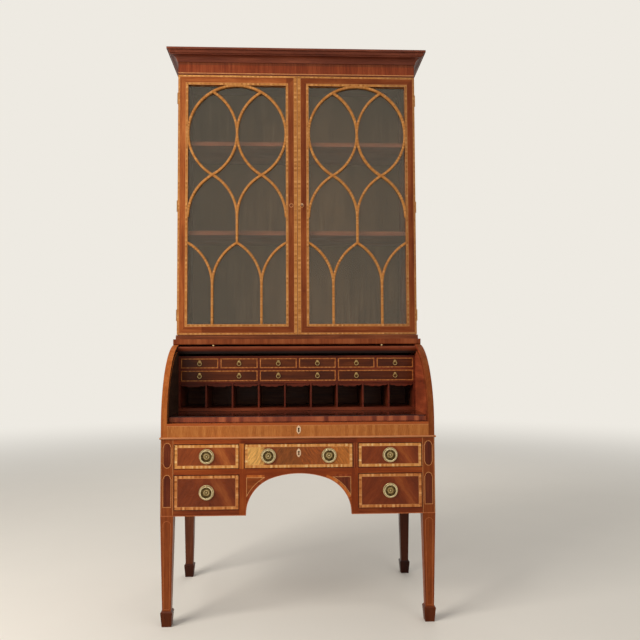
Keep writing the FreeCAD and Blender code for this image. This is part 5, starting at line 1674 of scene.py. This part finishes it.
arch = {"span": 206 * mm, "crown": 579.5 * mm, "radius": 330 * mm, "shoulderShare": 0.5, "foot": 420 * mm}
spandrel = {"side": 203 * mm, "head": 565 * mm, "offset": 14 * mm, "line": 1.8 * mm, "band": 9 * mm,
            "proud": 0.22 * mm, "edge": 2.2 * mm, "edgeProud": 0.18 * mm, "edgeFoot": 2 * mm,
            "bandProud": 0.15 * mm, "bandPath": 0.52, "bandShare": 0.66, "ease": 4 * mm,
            "panelProud": 0.12 * mm}


def archPath(offset, lowest):
    # right half of the three-centred arch, moved out by an offset, from the crown down to a height
    crownCentre = arch["crown"] - arch["radius"]
    joinX = arch["span"] * arch["shoulderShare"]
    joinZ = crownCentre + math.sqrt(arch["radius"] ** 2 - joinX ** 2)
    toward = Vector((joinX, joinZ - crownCentre)) / arch["radius"]
    chord = Vector((arch["span"] - joinX, arch["foot"] - joinZ))
    sideRadius = chord.length_squared / (-2 * chord.dot(toward))
    sideCentre = Vector((joinX, joinZ)) - toward * sideRadius
    turn = math.degrees(math.atan2(toward.y, toward.x))
    low = math.degrees(math.asin(max(-1.0, min(1.0, (lowest - sideCentre.y) / (sideRadius + offset)))))
    crownArc = arcPoints((0.0, crownCentre), arch["radius"] + offset, 90, turn, 2)
    shoulderArc = arcPoints(sideCentre, sideRadius + offset, turn, low, 3)
    return [Vector(point) for point in crownArc + shoulderArc[1:]]


def clipped(points, head, side):
    # part of a path below a height and within a distance from the middle, cut exactly at both
    kept = []
    for here, there in zip(points, points[1:]):
        if here.y > head >= there.y:
            kept.append(here.lerp(there, (here.y - head) / (here.y - there.y)))
        if there.y <= head and there.x < side:
            kept.append(there)
        elif there.y <= head and here.x < side <= there.x:
            kept.append(here.lerp(there, (side - here.x) / (there.x - here.x)))
    return kept


def makeSpandrels():
    place = onFront(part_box("kneehole_apron")[0].y)
    lines = bmesh.new()
    bands = bmesh.new()
    panels = bmesh.new()
    profile = flatProfile(spandrel["line"], spandrel["proud"])
    curve = clipped(archPath(spandrel["offset"], arch["foot"]), spandrel["head"], spandrel["side"])
    edge = archPath(spandrel["edge"] / 2, arch["foot"] + spandrel["edgeFoot"])
    bandPath = clipped(archPath(spandrel["offset"] * spandrel["bandPath"], arch["foot"]),
                       spandrel["head"] + spandrel["ease"], spandrel["side"] - spandrel["ease"])
    bandWidth = spandrel["offset"] * spandrel["bandShare"]
    for side in (-1, 1):
        # panel and top band are pale on the left and deep on the right, the curved band the other way round
        bright, deep = (0, 1) if side < 0 else (1, 0)
        corner = (side * spandrel["side"], spandrel["head"])
        outline = [(side * point.x, point.y) for point in curve]
        slab(panels, [corner] + outline, place, spandrel["panelProud"], slot=bright)
        sweep(lines, [corner] + outline, profile, place, True)
        head = spandrel["head"] + spandrel["line"] / 2
        near = outline[0][0]
        slab(bands, [(near, head), (corner[0], head), (corner[0], head + spandrel["band"]),
                     (near, head + spandrel["band"])], place, spandrel["bandProud"], slot=bright)
        sweep(bands, [(side * point.x, point.y) for point in bandPath],
              flatProfile(bandWidth, spandrel["bandProud"]), place, False, deep)
        sweep(lines, [(side * point.x, point.y) for point in edge],
              flatProfile(spandrel["edge"], spandrel["edgeProud"]), place, False, 1)
    for name, bm, left, right in (("spandrel_panels", panels, "spandrelPale", "postPanel"),
                                  ("spandrel_bands", bands, "archBand", "archBandDeep"),
                                  ("spandrel_lines", lines, "string", "redString")):
        newPiece(name, bm, "root", [finishes[left], finishes[right]])


edgeLines = {"foot": 3.2 * mm, "stile": 1.3 * mm, "stileInset": 4 * mm, "proud": 0.2 * mm,
             "railStrip": 1.2 * mm, "railDrop": 10 * mm}


def makeEdgeLines():
    place = onFront(deskFront)
    low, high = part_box("centre_drawer")
    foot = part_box("desk_front_frame")[0].z + edgeLines["foot"] / 2
    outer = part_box("front_right_leg")[1].x
    inner = high.x + drawerJoint + edgeLines["stileInset"]
    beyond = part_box("upper_right_drawer")[0].x - drawerJoint - edgeLines["stileInset"]
    bm = bmesh.new()
    for side in (-1, 1):
        sweep(bm, [(side * arch["span"], foot), (side * outer, foot)],
              flatProfile(edgeLines["foot"], edgeLines["proud"]), place)
        for x in (inner, beyond):
            sweep(bm, [(side * x, low.z), (side * x, high.z)],
                  flatProfile(edgeLines["stile"], edgeLines["proud"]), place)
    newPiece("desk_front_lines", bm, "root", [finishes["redString"]])
    rail = bmesh.new()
    railLow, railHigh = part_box("lock_rail")
    height = railHigh.z - edgeLines["railDrop"]
    sweep(rail, [(railLow.x, height), (railHigh.x, height)],
          flatProfile(edgeLines["railStrip"], edgeLines["proud"]), place)
    newPiece("lock_rail_line", rail, "root", [finishes["string"]])


makePostInlays()
makeLegLines()
makeSpandrels()
makeEdgeLines()
print("scene: desk front inlaid")


# Writing slide: crossbanded front edge under the rounded nose

slideBand = {"low": 1.2 * mm, "high": 3.6 * mm, "proud": 0.2 * mm}


def makeSlideBand():
    low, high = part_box("writing_slide")
    bm = bmesh.new()
    slab(bm, [(low.x, low.z + slideBand["low"]), (high.x, low.z + slideBand["low"]),
              (high.x, high.z - slideBand["high"]), (low.x, high.z - slideBand["high"])],
         onFront(low.y), slideBand["proud"], spot=lambda point: (point[0], point[1] - low.z))
    newPiece("slide_edge_band", bm, "slide", [finishes["slideBand"]])


makeSlideBand()


# Small drawers: satinwood border on each front, and turned roses on their pulls

smallInlay = {"margin": 1.2 * mm, "band": 4.4 * mm, "proud": 0.2 * mm, "joint": 0.5 * mm, "rise": 7 * mm}

# Millimetres (radius, out) as for the large plates; the size scales the radius alone
rose = {
    "size": 0.64,
    "profile": [(0, 2.2), (1.4, 2.1), (2.6, 1.8), (3.2, 1.4), (4.2, 1.5), (5.2, 1.9), (6.2, 1.8), (7.0, 1.5),
                (7.7, 1.7), (8.2, 1.2), (8.2, 0.0), (0, 0.0)],
    "hollows": [0.1, 0.1, 0.3, 0.9, 0.6, 0.2, 0.3, 0.9, 0.2, 0.4, 0.8, 0.8],
}


def makeSmallFronts():
    place = onFront(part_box("pigeonhole_case")[0].y)
    pullColumns = [(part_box(name)[0].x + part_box(name)[1].x) / 2 for name in upperSmall]
    profile = [(radius * rose["size"] * mm, out * mm) for radius, out in rose["profile"]]
    for name in upperSmall + lowerSmall:
        low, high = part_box(name)
        edge = inset((low.x, low.z, high.x, high.z), smallInlay["margin"])
        bands = bmesh.new()
        mitredBand(bands, edge, inset(edge, smallInlay["band"]), place, smallInlay["proud"])
        newPiece(name + "_border", bands, name + "_body", [finishes["smallBand"]])
        roses = bmesh.new()
        height = (low.z + high.z + smallInlay["joint"]) / 2 + smallInlay["rise"]
        for x in [column for column in pullColumns if low.x < column < high.x]:
            lathe(roses, profile, place, (x, height), 40, 0, rose["hollows"])
        newPiece(name + "_roses", roses, name + "_body", [finishes["rose"]], 50)


makeSmallFronts()
print("scene: small drawers bordered")


# Tambour: convex reeds in place of the plain slats

# The tambour rolls about a centre behind the top of the lock rail; turns are in radians, arcs in degrees
roll = {"depth": 312 * mm, "travel": 78, "jointTurn": 0.5 / 300, "railTurn": 40 / 300, "slatArc": 92.0}
reeds = {"count": 25, "inner": 286.6 * mm, "edge": 296.6 * mm, "crown": 298.9 * mm, "gap": 0.15 * mm,
         "half": 518 * mm, "steps": 10, "roundness": 0.6}


def makeReeds():
    centre = Vector((deskFront + roll["depth"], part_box("lock_rail")[1].z))
    start = roll["travel"] + math.degrees(roll["jointTurn"]) + math.degrees(roll["railTurn"])
    finish = roll["travel"] + math.degrees(roll["jointTurn"]) + roll["slatArc"]
    pitch = (finish - start) / reeds["count"]
    gap = math.degrees(reeds["gap"] / reeds["crown"])
    bm = bmesh.new()

    def spot(radius, degrees):
        angle = math.radians(degrees)
        return centre + Vector((-radius * math.cos(angle), radius * math.sin(angle)))

    for n in range(reeds["count"]):
        low = start + n * pitch + gap
        high = start + (n + 1) * pitch - gap
        outline = [spot(reeds["inner"], low)]
        for k in range(reeds["steps"] + 1):
            share = k / reeds["steps"]
            lift = math.sin(math.pi * share) ** reeds["roundness"]
            outline.append(spot(reeds["edge"] + (reeds["crown"] - reeds["edge"]) * lift,
                                low + (high - low) * share))
        outline.append(spot(reeds["inner"], high))
        slab(bm, outline, onSideways(), reeds["half"], reeds["half"], chamfer=0.05 * mm)
    piece = newPiece("tambour_reeds", bm, "tambour", [finishes["slat"]])
    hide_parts("tambour_slats")


# Lead rail: rounded nosing along its top edge, paler than the rail below it as a painted highlight

nosing = {"rise": 7.6 * mm, "depth": 8.4 * mm, "back": 0.2 * mm, "sunk": 0.5 * mm, "tongue": 6.8 * mm}


def makeNosing():
    # half an ellipse that stands on the rail's outer face, at its front corner
    low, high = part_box("tambour_lead_rail")
    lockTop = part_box("lock_rail")[1].z
    turn = math.radians(roll["travel"]) + roll["jointTurn"]
    radius = (deskFront + roll["depth"] - low.y) / math.cos(turn)
    along = Vector((math.sin(turn), math.cos(turn)))
    outward = Vector((-math.cos(turn), math.sin(turn)))
    corner = Vector((low.y, lockTop + radius * math.sin(turn)))
    reach = nosing["depth"] / 2
    centre = corner + along * (nosing["back"] + reach)
    outline = [centre - along * reach - outward * nosing["sunk"]]
    for degrees in range(180, -1, -15):
        angle = math.radians(degrees)
        outline.append(centre + along * reach * math.cos(angle) + outward * nosing["rise"] * math.sin(angle))
    outline.append(centre + along * reach - outward * nosing["sunk"])
    middle = (low.x + high.x) / 2
    half = (high.x - low.x) / 2 - nosing["tongue"]
    bm = bmesh.new()
    slab(bm, outline, lambda point, out: Vector((middle + out, point[0], point[1])), half, half)
    newPiece("lead_rail_nosing", bm, "tambour", [finishes["nosing"]], 40)


makeReeds()
makeNosing()
print("scene: tambour reeded")


# Floor, sky and lamps

studio = {
    "floor": (242, 238, 230), "bounce": (150, 140, 126), "backdrop": (238, 234, 226), "ambient": 0.42,
    "floorRadius": 30.0, "mottle": 0.97, "fadeFrom": 2.2, "fadeTo": 8.5,
    "ambientTint": (1.0, 0.98, 0.95, 1.0), "lampTint": (1.0, 0.94, 0.86),
    "lamps": [
        {"name": "windowLamp", "place": (-3.0, -2.5, 2.5), "size": 2.2, "watts": 125, "aim": (0, 0, 1.2)},
        {"name": "fillLamp", "place": (2.6, -3.8, 1.7), "size": 2.6, "watts": 22, "aim": (0, 0, 1.2)},
        {"name": "backLamp", "place": (0.6, 3.6, 3.0), "size": 2.4, "watts": 30, "aim": (0, 0, 1.3)},
        {"name": "glintLamp", "place": (-1.9, -2.0, 5.2), "size": 0.6, "watts": 16, "aim": (0, 0, 0.6)},
    ],
}


def seenPath(tree, paths):
    # 1 for what the camera sees, straight or through glass or mirrored
    straight = calc(tree, "MAXIMUM", paths.outputs["Is Camera Ray"], paths.outputs["Is Transmission Ray"])
    return calc(tree, "MAXIMUM", straight, paths.outputs["Is Glossy Ray"])


def makeFloor():
    bm = bmesh.new()
    bmesh.ops.create_circle(bm, cap_ends=True, radius=studio["floorRadius"], segments=96)
    mesh = bpy.data.meshes.new("studio_floor")
    bm.to_mesh(mesh)
    bm.free()
    material, tree, shader, place = newMaterial("paleFloor")
    mottle = noise(tree, place, 3.0, 4, 0.6)
    pale = tint(*studio["floor"])
    worn = tuple(part * studio["mottle"] for part in pale[:3]) + (1.0,)
    colour = blendColours(tree, mottle, worn, pale)
    # a carpet gives less light back to the object than its pale face shows
    paths = tree.nodes.new("ShaderNodeLightPath")
    colour = blendColours(tree, paths.outputs["Is Diffuse Ray"], colour, tint(*studio["bounce"]))
    fill(tree, shader, {"Base Color": colour, "Roughness": 0.9, "Specular IOR Level": 0.1})
    # far from the object the floor runs into the backdrop's colour, also where glass and brass show it
    x, y, z = split(tree, place)
    reach = calc(tree, "SQRT", plus(tree, times(tree, x, x), times(tree, y, y)))
    distant = fade(tree, reach, studio["fadeFrom"], studio["fadeTo"])
    glow = tree.nodes.new("ShaderNodeEmission")
    glow.inputs["Color"].default_value = tint(*studio["backdrop"])
    mixedSurface(tree, times(tree, distant, seenPath(tree, paths)), shader, glow, outputOf(tree))
    mesh.materials.append(material)
    addObject("studio_floor", mesh)


def makeWorld():
    world = bpy.data.worlds.new("studioWorld")
    bpy.context.scene.world = world
    world.use_nodes = True
    tree = world.node_tree
    tree.nodes.clear()
    paths = tree.nodes.new("ShaderNodeLightPath")
    ambient = tree.nodes.new("ShaderNodeBackground")
    fill(tree, ambient, {"Color": studio["ambientTint"], "Strength": studio["ambient"]})
    backdrop = tree.nodes.new("ShaderNodeBackground")
    fill(tree, backdrop, {"Color": tint(*studio["backdrop"]), "Strength": 1.0})
    mixedSurface(tree, seenPath(tree, paths), ambient, backdrop, tree.nodes.new("ShaderNodeOutputWorld"))


def makeLamps():
    for lamp in studio["lamps"]:
        data = bpy.data.lights.new(lamp["name"], "AREA")
        data.shape = "SQUARE"
        data.size = lamp["size"]
        data.energy = lamp["watts"]
        data.color = studio["lampTint"]
        made = addObject(lamp["name"], data)
        made.location = lamp["place"]
        aim = Vector(lamp["aim"]) - Vector(lamp["place"])
        made.rotation_mode = "QUATERNION"
        made.rotation_quaternion = aim.to_track_quat("-Z", "Y")
        # the large lamps would show as bright squares in the glass, which mirrors on both its faces; the
        # glint lamp hangs so high that upright glass never mirrors it
        made.visible_glossy = lamp["name"] == "glintLamp"
        made.visible_transmission = False


# Camera at the photograph's viewing angle: angles in radians, place in metres

photoCamera = {"place": (-0.0296, -2.998, 1.0466), "yaw": -0.0425, "pitch": 0.0491, "roll": 0.0042,
               "lens": 38.32, "sensor": 36.0, "near": 0.05, "far": 200}


def makeCamera():
    data = bpy.data.cameras.new("photoCamera")
    data.lens = photoCamera["lens"]
    data.sensor_width = photoCamera["sensor"]
    data.clip_start = photoCamera["near"]
    data.clip_end = photoCamera["far"]
    made = addObject("photoCamera", data)
    made.location = photoCamera["place"]
    made.rotation_mode = "XYZ"
    made.rotation_euler = (math.pi / 2 + photoCamera["pitch"], photoCamera["roll"], photoCamera["yaw"])
    bpy.context.scene.camera = made


makeFloor()
makeWorld()
makeLamps()
makeCamera()
bpy.context.scene.view_settings.view_transform = "Standard"
print("scene: stage, lamps and camera set")
